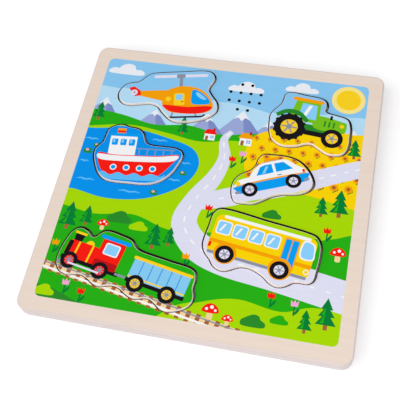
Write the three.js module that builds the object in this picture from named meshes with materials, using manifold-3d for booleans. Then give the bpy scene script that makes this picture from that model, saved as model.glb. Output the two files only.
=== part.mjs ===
// Wooden sound puzzle: a square board of two glued layers with six vehicle pieces that lift out
// of cut-out recesses. A light sensor under each piece tells the sound chip that it was lifted.
// Millimetres, +Z up. The origin is the middle of the underside. +X is the right edge and +Y the
// back edge of the picture as a child looks at it.

import * as THREE from 'three';
import { mergeVertices } from 'three/addons/utils/BufferGeometryUtils.js';
import Module from 'manifold-3d';

const wasm = await Module();
wasm.setup();

// Board
const BOARD_SIDE = 300;
const BOARD_CORNER = 10;
const BOARD_EDGE = 1.5;
const BASE_T = 10;
const FACE_T = 6.5;

// Places on the board are given on a grid with this many steps across its side
const GRID_STEPS = 300;

function spot(x, y) {
  return new THREE.Vector2(x, y).multiplyScalar(BOARD_SIDE / GRID_STEPS);
}

// Lift-out pieces
const PIECE_PROUD = 3;
const PIECE_MARGIN = 0.4;
const PIECE_GAP = 1.6;
const PIECE_EDGE = 0.5;

// Back panel let into the underside
const PANEL_T = 2.8;
const PANEL_MARGIN = 18;
const PANEL_CORNER = 8;
const PANEL_GAP = 0.3;
const PANEL_SCREW_INSET = 7;

// Pan-head wood screws
const SCREW_D = 2.4;
const SCREW_HEAD_D = 5;
const SCREW_HEAD_T = 1.4;
const PANEL_SCREW_L = 6.5;
const BOARD_SCREW_L = 5.4;
const BOX_SCREW_L = 4.8;
const SCREW_CLEARANCE = 0.3;
const PILOT_CLEARANCE = 0.12;
const HEAD_RECESS = 0.25;

// Leads and the channels that they lie in
const LEAD_D = 1.8;
const LEAD_BEND = 1.8;
const LEAD_STUB = 0.4;
const SOLDER_GAP = 0.1;
const BUTT_GAP = 0.3;
const CHANNEL_W = 3.2;
const CHANNEL_DEPTH = 3;

// Light sensors under the pieces
const SENSOR_D = 5;
const SENSOR_T = 2;
const SENSOR_GAP = 0.3;
const WINDOW_D = 3.6;

// Circuit board and what is soldered to it
const CIRCUIT_AT = spot(-45, -38);
const CIRCUIT_X = 46;
const CIRCUIT_Y = 32;
const CIRCUIT_T = 1.6;
const CIRCUIT_GAP = 0.5;
const CIRCUIT_SCREW_INSET = 4;
const PAD_INSET = 3;
const CHIP_AT = new THREE.Vector2(-5, 0).add(CIRCUIT_AT);
const CHIP_D = 14;
const CHIP_T = 2;
const CAPACITOR_AT = new THREE.Vector2(10, -5).add(CIRCUIT_AT);
const CAPACITOR_D = 5;
const CAPACITOR_T = 3;

// Speaker and the holes above it
const SPEAKER_FROM_BACK = 44.3;
const SPEAKER_AT = new THREE.Vector2(spot(14.5, 0).x, BOARD_SIDE / 2 - SPEAKER_FROM_BACK);
const SPEAKER_D = 40;
const SPEAKER_GAP = 0.3;
const HOLE_D = 2.8;
const HOLE_PITCH = 10.3;
const HOLES_ACROSS = 4;
const GASKET_T = 0.8;
const GASKET_W = 1.6;
const RIM_T = 1;
const RIM_W = 2.4;
const BASKET_DEPTH = 3;
const BASKET_FLOOR_D = 21;
const BASKET_WALL = 0.9;
const COIL_HOLE_D = 13;
const MAGNET_D = 17;
const MAGNET_T = 1.9;
const CONE_T = 0.5;
const CONE_DEPTH = 2.2;
const CAP_D = 11;
const CAP_RISE = 1;

// Battery box, its door and two AAA cells
const BOX_AT = spot(-6, 21);
const BOX_WALL = 1.2;
const BOX_ROOF = 1;
const BOX_GAP = 0.3;
const BOX_FOOT = 0.1;
const CELL_D = 10.4;
const CELL_L = 44.5;
const NUB_D = 3.8;
const NUB_L = 1;
const CELL_GAP = 0.2;
const PLATE_T = 0.5;
const PLATE_H = 8;
const PLATE_GAP = 1.4;
const SPRING_L = 5;
const SPRING_WIRE = 0.7;
const SPRING_TURNS = 3;
const SPRING_WIDE = 7;
const SPRING_NARROW = 4;
const BOSS_ZONE = 8;
const POST_D = 6.4;
const POST_BORE_GAP = 0.7;
const EAR_L = 8;
const EAR_T = 1.4;
const EAR_AT_Y = 12;
const DOOR_T = 2;
const DOOR_LIFT = 0.3;
const DOOR_GAP = 0.3;
const DOOR_BOSS = 7;
const DOOR_BOSS_T = 4;
const HINGE_PIN_D = 1.2;
const HINGE_PIN_L = 0.8;
const HINGE_PIN_GAP = 0.2;
const DOOR_SCREW_HEAD_D = 4.4;
const DOOR_SCREW_HEAD_T = 1.4;
const DOOR_SCREW_L = 6;

// Facets
const OUTLINE_STEPS = 80;
const CORNER_STEPS = 4;
const ROUND_SIDES = 14;
const HOLE_SIDES = 10;
const LEAD_SIDES = 8;
const BEND_STEPS = 3;
const SPEAKER_SIDES = 24;
const WIRE_SIDES = 5;
const TURN_STEPS = 8;
const CUT = 1;

// Levels worked out from the sizes above
const BOARD_T = BASE_T + FACE_T;
const PIECE_T = FACE_T + PIECE_PROUD;
const CHANNEL_TOP = PANEL_T + CHANNEL_DEPTH;
const LEAD_Z = PANEL_T + CHANNEL_DEPTH / 2;
const SOLDER_Z = LEAD_Z + LEAD_BEND + LEAD_STUB;
const SENSOR_TOP = SOLDER_Z + SENSOR_T;
const CIRCUIT_TOP = SOLDER_Z + CIRCUIT_T;
const DOOR_TOP = DOOR_LIFT + DOOR_T;
const CELL_Z = DOOR_TOP + CELL_GAP + CELL_D / 2;
const CHAMBER_TOP = CELL_Z + CELL_D / 2 + CELL_GAP;
const BOX_TOP = CHAMBER_TOP + BOX_ROOF;
const CHAMBER_X = 2 * CELL_D + 3 * CELL_GAP;
const CHAMBER_L = CELL_L + SPRING_L + 2 * PLATE_T;
const BOX_X = CHAMBER_X + 2 * BOX_WALL;
const BOX_L = CHAMBER_L + BOSS_ZONE + 3 * BOX_WALL;
const BOX_FRONT = BOX_AT.y - BOX_L / 2;
const BOX_BACK = BOX_AT.y + BOX_L / 2;
const CHAMBER_BACK = BOX_BACK - BOX_WALL;
const CHAMBER_FRONT = CHAMBER_BACK - CHAMBER_L;
const POST_Y = BOX_FRONT + BOX_WALL + BOSS_ZONE / 2;
const HINGE_Y = CHAMBER_BACK - DOOR_GAP - DOOR_T / 2;
const HINGE_Z = DOOR_LIFT + DOOR_T / 2;
const PANEL_HALF = BOARD_SIDE / 2 - PANEL_MARGIN;
const SPEAKER_R = SPEAKER_D / 2;

// The pieces' outlines, anticlockwise, as smooth closed curves through their turning points
const OUTLINES = {
  helicopter: [
    [-113.5, 92], [-112, 85], [-107, 80.5], [-99, 79.5], [-89, 82], [-79, 83.8], [-71, 82],
    [-64, 75], [-55, 68], [-49, 66], [-36, 67.5], [-26, 71], [-17, 76.5], [-11.5, 84],
    [-12.5, 92], [-19, 100], [-24, 107.5], [-23.5, 113.5], [-21, 119.5], [-21, 124.5],
    [-25, 129], [-32, 129.8], [-55, 125.5], [-78, 121], [-86, 118.5], [-91.5, 112.5],
    [-96.5, 106.5], [-103, 104.8], [-109.5, 101],
  ],
  tractor: [
    [44.3, 88], [44.2, 80], [45.5, 69], [49.2, 60.2], [56, 55], [64.5, 53.8], [74, 55.8],
    [82, 59.2], [88, 59.6], [95, 55.4], [103, 51], [112, 50.6], [118.5, 53.6], [121.5, 60.5],
    [121.8, 72], [121, 84], [118, 91], [109, 93.8], [99, 95.8], [95.2, 98.5], [96, 104],
    [94.8, 109.5], [90, 112.3], [75, 114], [60, 115.8], [55.5, 113.5], [54.3, 107],
    [53, 101.5], [48.5, 95],
  ],
  boat: [
    [-119.5, 15], [-115.5, 5], [-110.5, -3.5], [-104, -8.8], [-96, -10.5], [-80, -10],
    [-64, -9], [-54, -6.3], [-46, -0.8], [-39.5, 8], [-36, 17], [-33.8, 25], [-35, 30],
    [-40.5, 32.8], [-53, 33.2], [-66, 33], [-72, 35], [-75.5, 40.5], [-78.5, 46.5],
    [-84, 49.8], [-93, 50.8], [-100, 52.5], [-107, 50.5], [-112.3, 45.5], [-113.2, 38],
    [-114.5, 30], [-119.5, 22],
  ],
  car: [
    [20.8, 1], [22.3, -8], [26, -13.5], [34, -14], [43, -12.8], [50, -8.5], [58, -3], [68, 1],
    [78, 2.6], [85.5, 4.8], [91.5, 8.8], [94.2, 14.5], [92, 22], [87, 29.5], [79, 36.5],
    [70, 39.8], [61, 40.5], [52, 40], [44.5, 39.3], [41, 34.5], [39.5, 27], [35.5, 20.5],
    [28, 15.5], [22.5, 9],
  ],
  bus: [
    [5.8, -60], [7, -66], [10, -70.5], [14.5, -75], [18, -80], [24, -83.5], [30, -83.3],
    [36, -80.3], [42, -77.7], [50, -77.5], [58, -80], [65, -84], [71, -88.8], [78, -90.8],
    [84.5, -88.6], [90, -84.7], [97, -83.5], [103, -83.5], [107, -80.5], [108.5, -72],
    [110, -56], [109, -46], [105, -39.5], [98, -37], [60, -31], [22, -25], [13.5, -25.5],
    [9.5, -30.5], [8, -42],
  ],
  train: [
    [-123.6, -97], [-122.5, -103], [-118.5, -108.5], [-111, -111], [-104.5, -109.5],
    [-98, -109], [-91, -112], [-85, -115.8], [-79.5, -117.3], [-74, -116], [-68, -114.5],
    [-60, -116], [-52, -121], [-45, -123.3], [-38.5, -121.7], [-32, -121], [-26, -124],
    [-20, -128.5], [-14, -130], [-7, -128.3], [1, -124.8], [5.8, -119], [6.5, -113],
    [4.3, -106], [4.8, -96], [2, -89.8], [-22, -84.7], [-50, -79.2], [-55.5, -76],
    [-60, -70.5], [-70, -67.3], [-84, -64.8], [-89.5, -67], [-93, -71.5], [-97.5, -72.7],
    [-102, -69], [-107, -65.8], [-113, -66.2], [-117.5, -71], [-120.5, -79], [-122.8, -88],
  ],
};

// How far each piece has slid from the middle of its recess
const SLID = {
  helicopter: [0.3, -1.1],
  tractor: [-0.6, -1.1],
  boat: [0.5, -1.1],
  car: [-0.6, -1.1],
  bus: [-0.2, -1.2],
  train: [0.2, -1.2],
};

// Where the light sensor is under each piece, and where its lead turns
const SENSOR_ROUTES = {
  helicopter: [[-55, 92], [-52, 60]],
  tractor: [[82, 80], [16, 14], [16, -19], [4, -31]],
  boat: [[-80, 15], [-62, -3]],
  car: [[58, 16], [58, -9], [30, -37]],
  bus: [[58, -58], [43, -43]],
  train: [[-45, -98]],
};
const SPEAKER_ROUTE = [[-42, 49]];
const BATTERY_ROUTE = [[-32, 1]];

// Where each lead is soldered, from the middle of the circuit board
const PAD_X = CIRCUIT_X / 2 - PAD_INSET;
const PAD_Y = CIRCUIT_Y / 2 - PAD_INSET;
const PADS = {
  helicopter: [-7, PAD_Y],
  tractor: [PAD_X, 7],
  boat: [-17, PAD_Y],
  car: [PAD_X, 1],
  bus: [PAD_X, -5],
  train: [0, -PAD_Y],
  speaker: [3, PAD_Y],
  battery: [13, PAD_Y],
};

// Materials
function finish(color, roughness, metalness = 0) {
  return new THREE.MeshStandardMaterial({ color, roughness, metalness });
}
const BIRCH = finish(0xe9d9cb, 0.6);
const PALE_BIRCH = finish(0xeee2d6, 0.65);
const HARDBOARD = finish(0xcdb79a, 0.75);
const STEEL = finish(0xb9bcc2, 0.35, 1);
const BRASSY = finish(0xc9b37a, 0.35, 1);
const BLACK_PLASTIC = finish(0x2b2b2e, 0.5);
const GREEN_LAMINATE = finish(0x2f6b3c, 0.5);
const PAPER = finish(0x3a3733, 0.9);
const FELT = finish(0x4a4a4a, 0.95);
const FERRITE = finish(0x4b4b50, 0.6);
const LEAD_PLASTIC = finish(0xb8322a, 0.5);
const CELL_WRAP = finish(0x3d6f9e, 0.4);
const SENSOR_RESIN = finish(0xd9b48a, 0.35);
const PIECE_COLOURS = {
  helicopter: 0xf6c62c,
  tractor: 0xd9362b,
  boat: 0x4aa3df,
  car: 0xe04a3a,
  bus: 0xf5b818,
  train: 0x5fb04a,
};

const puzzle = new THREE.Group();

function place(name, geometry, material) {
  const mesh = new THREE.Mesh(geometry, material);
  mesh.name = name;
  puzzle.add(mesh);
}

// Solids for joining and cutting
function solid(geometry) {
  const bare = geometry.clone();
  bare.deleteAttribute('normal');
  bare.deleteAttribute('uv');
  const merged = mergeVertices(bare);
  const vertProperties = new Float32Array(merged.attributes.position.array);
  const triVerts = new Uint32Array(merged.index.array);
  return new wasm.Manifold(new wasm.Mesh({ numProp: 3, vertProperties, triVerts }));
}

function shape(body) {
  const mesh = body.getMesh();
  const geometry = new THREE.BufferGeometry();
  geometry.setAttribute('position', new THREE.BufferAttribute(mesh.vertProperties, 3));
  geometry.setIndex(new THREE.BufferAttribute(mesh.triVerts, 1));
  return geometry;
}

function cutAll(body, cutters) {
  return cutters.reduce((rest, cutter) => rest.subtract(solid(cutter)), body);
}

// A block between two corners
function block(low, high) {
  const size = high.map((value, axis) => value - low[axis]);
  const middle = high.map((value, axis) => (value + low[axis]) / 2);
  return new THREE.BoxGeometry(...size).translate(...middle);
}

// An upright rod
function rod(diameter, at, bottom, top, sides = ROUND_SIDES) {
  const geometry = new THREE.CylinderGeometry(diameter / 2, diameter / 2, top - bottom, sides);
  return geometry.rotateX(Math.PI / 2).translate(at.x, at.y, (bottom + top) / 2);
}

// A solid of revolution about an upright axis, from [radius, height] points
function turned(points, at, sides = ROUND_SIDES) {
  const profile = points.map(([radius, height]) => new THREE.Vector2(radius, height));
  return new THREE.LatheGeometry(profile, sides).rotateX(Math.PI / 2).translate(at.x, at.y, 0);
}

// Outlines, all anticlockwise
function curved(points) {
  const turns = points.map(([x, y]) => new THREE.Vector3(...spot(x, y), 0));
  const curve = new THREE.CatmullRomCurve3(turns, true);
  curve.arcLengthDivisions = OUTLINE_STEPS * 8;
  const spaced = curve.getSpacedPoints(OUTLINE_STEPS).slice(0, -1);
  return spaced.map((point) => new THREE.Vector2(point.x, point.y));
}

function roundedBox(halfX, halfY, radius, at = new THREE.Vector2()) {
  const ring = [];
  const corners = [[1, 1], [-1, 1], [-1, -1], [1, -1]];
  corners.forEach(([sideX, sideY], corner) => {
    for (let step = 0; step <= CORNER_STEPS; step += 1) {
      const angle = (corner + step / CORNER_STEPS) * Math.PI / 2;
      const x = at.x + sideX * (halfX - radius) + radius * Math.cos(angle);
      const y = at.y + sideY * (halfY - radius) + radius * Math.sin(angle);
      ring.push(new THREE.Vector2(x, y));
    }
  });
  return ring;
}

function grown(ring, distance) {
  return ring.map((point, i) => {
    const before = ring[(i + ring.length - 1) % ring.length];
    const after = ring[(i + 1) % ring.length];
    const along = after.clone().sub(before).normalize();
    return new THREE.Vector2(point.x + along.y * distance, point.y - along.x * distance);
  });
}

// A closed solid through rings of equal count, lowest first, each with its height
function loft(levels) {
  const count = levels[0].ring.length;
  const position = levels.flatMap(({ ring, z }) => ring.flatMap((point) => [point.x, point.y, z]));
  const index = [];
  for (let level = 0; level + 1 < levels.length; level += 1) {
    for (let i = 0; i < count; i += 1) {
      const a = level * count + i;
      const b = level * count + (i + 1) % count;
      index.push(a, b, b + count, a, b + count, a + count);
    }
  }
  const last = (levels.length - 1) * count;
  for (const [a, b, c] of THREE.ShapeUtils.triangulateShape(levels[0].ring, [])) {
    index.push(a, c, b);
  }
  for (const [a, b, c] of THREE.ShapeUtils.triangulateShape(levels.at(-1).ring, [])) {
    index.push(last + a, last + b, last + c);
  }
  const geometry = new THREE.BufferGeometry();
  geometry.setAttribute('position', new THREE.Float32BufferAttribute(position, 3));
  geometry.setIndex(index);
  return geometry;
}

function prism(ring, bottom, top) {
  return loft([{ ring, z: bottom }, { ring, z: top }]);
}

// A curve through stations that keeps each station as one step
class StationCurve extends THREE.Curve {
  constructor(stations) {
    super();
    this.stations = stations;
  }

  getPoint(t, target = new THREE.Vector3()) {
    const place = THREE.MathUtils.clamp(t, 0, 1) * (this.stations.length - 1);
    const i = Math.min(Math.floor(place), this.stations.length - 2);
    return target.lerpVectors(this.stations[i], this.stations[i + 1], place - i);
  }

  getPointAt(u, target) {
    return this.getPoint(u, target);
  }

  getTangentAt(u, target) {
    return this.getTangent(u, target);
  }
}

function tube(stations, diameter, sides) {
  const section = new THREE.Shape();
  for (let side = 0; side < sides; side += 1) {
    const angle = side / sides * 2 * Math.PI;
    const x = Math.cos(angle) * diameter / 2;
    const y = Math.sin(angle) * diameter / 2;
    if (side === 0) section.moveTo(x, y);
    else section.lineTo(x, y);
  }
  section.closePath();
  const extrudePath = new StationCurve(stations);
  return new THREE.ExtrudeGeometry(section, { steps: stations.length - 1, extrudePath });
}

// Corners of a lead's way, each rounded by a short curve
function rounded(corners, radius) {
  const stations = [corners[0]];
  for (let i = 1; i + 1 < corners.length; i += 1) {
    const corner = corners[i];
    const back = corners[i - 1].clone().sub(corner);
    const on = corners[i + 1].clone().sub(corner);
    const reach = Math.min(radius, back.length() * 0.9, on.length() * 0.9);
    const start = corner.clone().addScaledVector(back.normalize(), reach);
    const end = corner.clone().addScaledVector(on.normalize(), reach);
    stations.push(...new THREE.QuadraticBezierCurve3(start, corner, end).getPoints(BEND_STEPS));
  }
  stations.push(corners.at(-1));
  return stations;
}

function leadPoints(route, pad) {
  const turns = route.map(([x, y]) => spot(x, y));
  const end = new THREE.Vector2(...PADS[pad]).add(CIRCUIT_AT);
  return [...turns, end].map((point) => new THREE.Vector3(point.x, point.y, LEAD_Z));
}

// The stretch of lead that turns up to a solder joint
function solderEnd(point) {
  return new THREE.Vector3(point.x, point.y, SOLDER_Z - SOLDER_GAP);
}

function channel(from, to) {
  const along = new THREE.Vector2(to.x - from.x, to.y - from.y).normalize();
  const ring = [];
  for (const [end, turn] of [[to, -Math.PI / 2], [from, Math.PI / 2]]) {
    for (let step = 0; step <= CORNER_STEPS; step += 1) {
      const angle = along.angle() + turn + step / CORNER_STEPS * Math.PI;
      const x = end.x + Math.cos(angle) * CHANNEL_W / 2;
      const y = end.y + Math.sin(angle) * CHANNEL_W / 2;
      ring.push(new THREE.Vector2(x, y));
    }
  }
  return prism(ring, PANEL_T - CUT, CHANNEL_TOP);
}

function channels(points) {
  return points.slice(1).map((point, i) => channel(points[i], point));
}

// A pan-head screw driven upwards, with its seat at a height
function screw(at, seat, length, diameter = SCREW_D, headD = SCREW_HEAD_D, headT = SCREW_HEAD_T) {
  const profile = [
    [0, seat - headT],
    [headD * 0.32, seat - headT],
    [headD / 2, seat - headT * 0.45],
    [headD / 2, seat],
    [diameter / 2, seat],
    [diameter / 2, seat + length - diameter / 2],
    [0, seat + length],
  ];
  return turned(profile, at, HOLE_SIDES);
}

function pilot(at, bottom, top) {
  return rod(SCREW_D + 2 * PILOT_CLEARANCE, at, bottom, top, HOLE_SIDES);
}

// Places shared by several pieces
const pieceNames = Object.keys(OUTLINES);
const pieceRings = Object.fromEntries(
  pieceNames.map((name) => [name, grown(curved(OUTLINES[name]), PIECE_MARGIN)]),
);
const sensorAt = Object.fromEntries(
  pieceNames.map((name) => [name, spot(...SENSOR_ROUTES[name][0])]),
);
const panelScrews = [-1, 0, 1].flatMap((sideX) => [-1, 0, 1].map((sideY) => [sideX, sideY]))
  .filter(([sideX, sideY]) => sideX !== 0 || sideY !== 0)
  .map((side) => new THREE.Vector2(...side).multiplyScalar(PANEL_HALF - PANEL_SCREW_INSET));
const circuitScrews = [-1, 1].map((side) => new THREE.Vector2(
  CIRCUIT_AT.x + side * (CIRCUIT_X / 2 - CIRCUIT_SCREW_INSET),
  CIRCUIT_AT.y + side * (CIRCUIT_Y / 2 - CIRCUIT_SCREW_INSET),
));
const boxScrews = [-1, 1].map((side) => new THREE.Vector2(
  BOX_AT.x + side * (BOX_X / 2 + EAR_L / 2),
  BOX_AT.y + EAR_AT_Y,
));
const cells = [-1, 1].map((side) => ({
  x: BOX_AT.x + side * (CELL_D + CELL_GAP) / 2,
  plusEnd: side,
}));

// Speaker lead from the magnet, and battery lead from the side of the box
const speakerTurn = leadPoints(SPEAKER_ROUTE, 'speaker');
const speakerWay = new THREE.Vector2(speakerTurn[0].x, speakerTurn[0].y).sub(SPEAKER_AT).normalize();
const speakerEnd = SPEAKER_AT.clone().addScaledVector(speakerWay, MAGNET_D / 2 + BUTT_GAP);
const speakerLead = [new THREE.Vector3(speakerEnd.x, speakerEnd.y, LEAD_Z), ...speakerTurn];
const batteryTurn = leadPoints(BATTERY_ROUTE, 'battery');
const batteryStart = BOX_AT.x - BOX_X / 2 - BUTT_GAP;
const batteryLead = [new THREE.Vector3(batteryStart, batteryTurn[0].y, LEAD_Z), ...batteryTurn];
const sensorLeads = Object.fromEntries(
  pieceNames.map((name) => [name, leadPoints(SENSOR_ROUTES[name], name)]),
);

// The pocket that the battery box and its ears fill
function boxPockets() {
  const halfX = BOX_X / 2 + BOX_GAP;
  const ear = halfX + EAR_L;
  const earY = BOX_AT.y + EAR_AT_Y;
  const earHalf = EAR_L / 2 + BOX_GAP;
  return [
    block(
      [BOX_AT.x - halfX, BOX_FRONT - BOX_GAP, -CUT],
      [BOX_AT.x + halfX, BOX_BACK + BOX_GAP, BOX_TOP + BOX_GAP],
    ),
    block(
      [BOX_AT.x - ear, earY - earHalf, PANEL_T - CUT],
      [BOX_AT.x + ear, earY + earHalf, CHANNEL_TOP],
    ),
  ];
}

// Upper layer with the recesses, the speaker holes and the battery pocket
function faceBoard() {
  const half = BOARD_SIDE / 2;
  const outer = roundedBox(half, half, BOARD_CORNER);
  const insetHalf = half - BOARD_EDGE;
  const inset = roundedBox(insetHalf, insetHalf, BOARD_CORNER - BOARD_EDGE);
  const eased = 0.3 * BOARD_EDGE;
  const easedHalf = half - eased;
  const plate = loft([
    { ring: outer, z: BASE_T },
    { ring: outer, z: BOARD_T - BOARD_EDGE },
    { ring: roundedBox(easedHalf, easedHalf, BOARD_CORNER - eased), z: BOARD_T - eased },
    { ring: inset, z: BOARD_T },
  ]);
  const recesses = pieceNames.map((name) => {
    const [slidX, slidY] = SLID[name];
    const ring = grown(pieceRings[name], PIECE_GAP);
    return prism(ring, BASE_T - CUT, BOARD_T + CUT).translate(-slidX, -slidY, 0);
  });
  const holes = [];
  const middle = (HOLES_ACROSS - 1) / 2;
  for (let row = 0; row < HOLES_ACROSS; row += 1) {
    for (let column = 0; column < HOLES_ACROSS; column += 1) {
      const corner = Math.abs(row - middle) === middle && Math.abs(column - middle) === middle;
      const step = new THREE.Vector2(column - middle, row - middle).multiplyScalar(HOLE_PITCH);
      const at = SPEAKER_AT.clone().add(step);
      if (!corner) holes.push(rod(HOLE_D, at, BASE_T - CUT, BOARD_T + CUT, HOLE_SIDES));
    }
  }
  const tips = circuitScrews.map((at) => pilot(at, BASE_T - CUT, SOLDER_Z + BOARD_SCREW_L + BUTT_GAP));
  return shape(cutAll(solid(plate), [...recesses, ...holes, ...tips, ...boxPockets()]));
}

// Lower layer: floor of the recesses, with everything electric let in from below
function baseBoard() {
  const half = BOARD_SIDE / 2;
  const outer = roundedBox(half, half, BOARD_CORNER);
  const insetHalf = half - BOARD_EDGE;
  const plate = loft([
    { ring: roundedBox(insetHalf, insetHalf, BOARD_CORNER - BOARD_EDGE), z: 0 },
    { ring: outer, z: BOARD_EDGE },
    { ring: outer, z: BASE_T },
  ]);
  const rabbetHalf = PANEL_HALF + PANEL_GAP;
  const rabbet = prism(roundedBox(rabbetHalf, rabbetHalf, PANEL_CORNER + PANEL_GAP), -CUT, PANEL_T);
  const circuitHalf = new THREE.Vector2(CIRCUIT_X, CIRCUIT_Y).multiplyScalar(0.5).addScalar(CIRCUIT_GAP);
  const circuitPocket = block(
    [CIRCUIT_AT.x - circuitHalf.x, CIRCUIT_AT.y - circuitHalf.y, PANEL_T - CUT],
    [CIRCUIT_AT.x + circuitHalf.x, CIRCUIT_AT.y + circuitHalf.y, CIRCUIT_TOP],
  );
  const leads = [...Object.values(sensorLeads), speakerLead, batteryLead];
  const sensorBores = pieceNames.flatMap((name) => [
    rod(SENSOR_D + 2 * SENSOR_GAP, sensorAt[name], PANEL_T - CUT, SENSOR_TOP),
    rod(WINDOW_D, sensorAt[name], SENSOR_TOP - CUT, BASE_T + CUT),
  ]);
  const speakerBoreD = SPEAKER_D + 2 * SPEAKER_GAP;
  const speakerBore = rod(speakerBoreD, SPEAKER_AT, PANEL_T - CUT, BASE_T + CUT, SPEAKER_SIDES);
  const panelPilots = panelScrews.map((at) => (
    pilot(at, PANEL_T - CUT, HEAD_RECESS + SCREW_HEAD_T + PANEL_SCREW_L + BUTT_GAP)
  ));
  const circuitPilots = circuitScrews.map((at) => pilot(at, CIRCUIT_TOP - CUT, BASE_T + CUT));
  const boxPilots = boxScrews.map((at) => (
    pilot(at, CHANNEL_TOP - CUT, CHANNEL_TOP - EAR_T + BOX_SCREW_L + BUTT_GAP)
  ));
  return shape(cutAll(solid(plate), [
    rabbet, circuitPocket, speakerBore, ...boxPockets(), ...leads.flatMap(channels),
    ...sensorBores, ...panelPilots, ...circuitPilots, ...boxPilots,
  ]));
}

// Thin cover of the underside, with the opening for the battery door
function backPanel() {
  const plate = prism(roundedBox(PANEL_HALF, PANEL_HALF, PANEL_CORNER), 0, PANEL_T);
  const opening = block(
    [BOX_AT.x - BOX_X / 2 - BOX_GAP, BOX_FRONT - BOX_GAP, -CUT],
    [BOX_AT.x + BOX_X / 2 + BOX_GAP, BOX_BACK + BOX_GAP, PANEL_T + CUT],
  );
  const seat = HEAD_RECESS + SCREW_HEAD_T;
  const holes = panelScrews.flatMap((at) => [
    rod(SCREW_D + 2 * SCREW_CLEARANCE, at, -CUT, PANEL_T + CUT, HOLE_SIDES),
    rod(SCREW_HEAD_D + 2 * SCREW_CLEARANCE, at, -CUT, seat, HOLE_SIDES),
  ]);
  return shape(cutAll(solid(plate), [opening, ...holes]));
}

// One lift-out piece, its edges sanded, resting on the floor of its recess
function liftPiece(name) {
  const ring = pieceRings[name];
  const inset = grown(ring, -PIECE_EDGE);
  const top = BASE_T + PIECE_T;
  return loft([
    { ring: inset, z: BASE_T },
    { ring, z: BASE_T + PIECE_EDGE },
    { ring, z: top - PIECE_EDGE },
    { ring: inset, z: top },
  ]);
}

// Speaker, facing up against the underside of the face board
const RIM_TOP = BASE_T - GASKET_T;
const BASKET_BOTTOM = RIM_TOP - RIM_T - BASKET_DEPTH;

function speakerFrame() {
  const rimBottom = RIM_TOP - RIM_T;
  const floorR = BASKET_FLOOR_D / 2;
  const holeR = COIL_HOLE_D / 2;
  return turned([
    [holeR, BASKET_BOTTOM],
    [floorR, BASKET_BOTTOM],
    [SPEAKER_R - RIM_W, rimBottom],
    [SPEAKER_R, rimBottom],
    [SPEAKER_R, RIM_TOP],
    [SPEAKER_R - RIM_W, RIM_TOP],
    [floorR, BASKET_BOTTOM + BASKET_WALL],
    [holeR, BASKET_BOTTOM + BASKET_WALL],
    [holeR, BASKET_BOTTOM],
  ], SPEAKER_AT, SPEAKER_SIDES);
}

function speakerCone() {
  const edge = SPEAKER_R - GASKET_W - SPEAKER_GAP;
  const seat = SPEAKER_R - RIM_W;
  const throat = RIM_TOP - CONE_DEPTH;
  const capR = CAP_D / 2;
  return turned([
    [0, throat + CAP_RISE],
    [capR * 0.6, throat + CAP_RISE * 0.7],
    [capR, throat],
    [seat - CONE_T, RIM_TOP],
    [edge, RIM_TOP],
    [edge, RIM_TOP + CONE_T],
    [seat - 2 * CONE_T, RIM_TOP + CONE_T],
    [capR, throat + CONE_T],
    [capR * 0.6, throat + CAP_RISE * 0.7 + CONE_T],
    [0, throat + CAP_RISE + CONE_T],
  ], SPEAKER_AT, SPEAKER_SIDES);
}

function speakerGasket() {
  const inner = SPEAKER_R - GASKET_W;
  return turned([
    [inner, RIM_TOP],
    [SPEAKER_R, RIM_TOP],
    [SPEAKER_R, BASE_T],
    [inner, BASE_T],
    [inner, RIM_TOP],
  ], SPEAKER_AT, SPEAKER_SIDES);
}

// Circuit board hung under the ceiling of its pocket, parts downwards
function circuitBoard() {
  const plate = block(
    [CIRCUIT_AT.x - CIRCUIT_X / 2, CIRCUIT_AT.y - CIRCUIT_Y / 2, SOLDER_Z],
    [CIRCUIT_AT.x + CIRCUIT_X / 2, CIRCUIT_AT.y + CIRCUIT_Y / 2, CIRCUIT_TOP],
  );
  const holes = circuitScrews.map((at) => (
    rod(SCREW_D + 2 * SCREW_CLEARANCE, at, SOLDER_Z - CUT, CIRCUIT_TOP + CUT, HOLE_SIDES)
  ));
  return shape(cutAll(solid(plate), holes));
}

function soundChip() {
  const radius = CHIP_D / 2;
  return turned([
    [0, SOLDER_Z - CHIP_T],
    [radius * 0.45, SOLDER_Z - CHIP_T * 0.92],
    [radius * 0.8, SOLDER_Z - CHIP_T * 0.6],
    [radius, SOLDER_Z],
    [0, SOLDER_Z],
  ], CHIP_AT);
}

// A rod along the battery door's hinge
function hingeRod(diameter, length) {
  const geometry = new THREE.CylinderGeometry(diameter / 2, diameter / 2, length, HOLE_SIDES);
  return geometry.rotateZ(Math.PI / 2).translate(BOX_AT.x, HINGE_Y, HINGE_Z);
}

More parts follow.
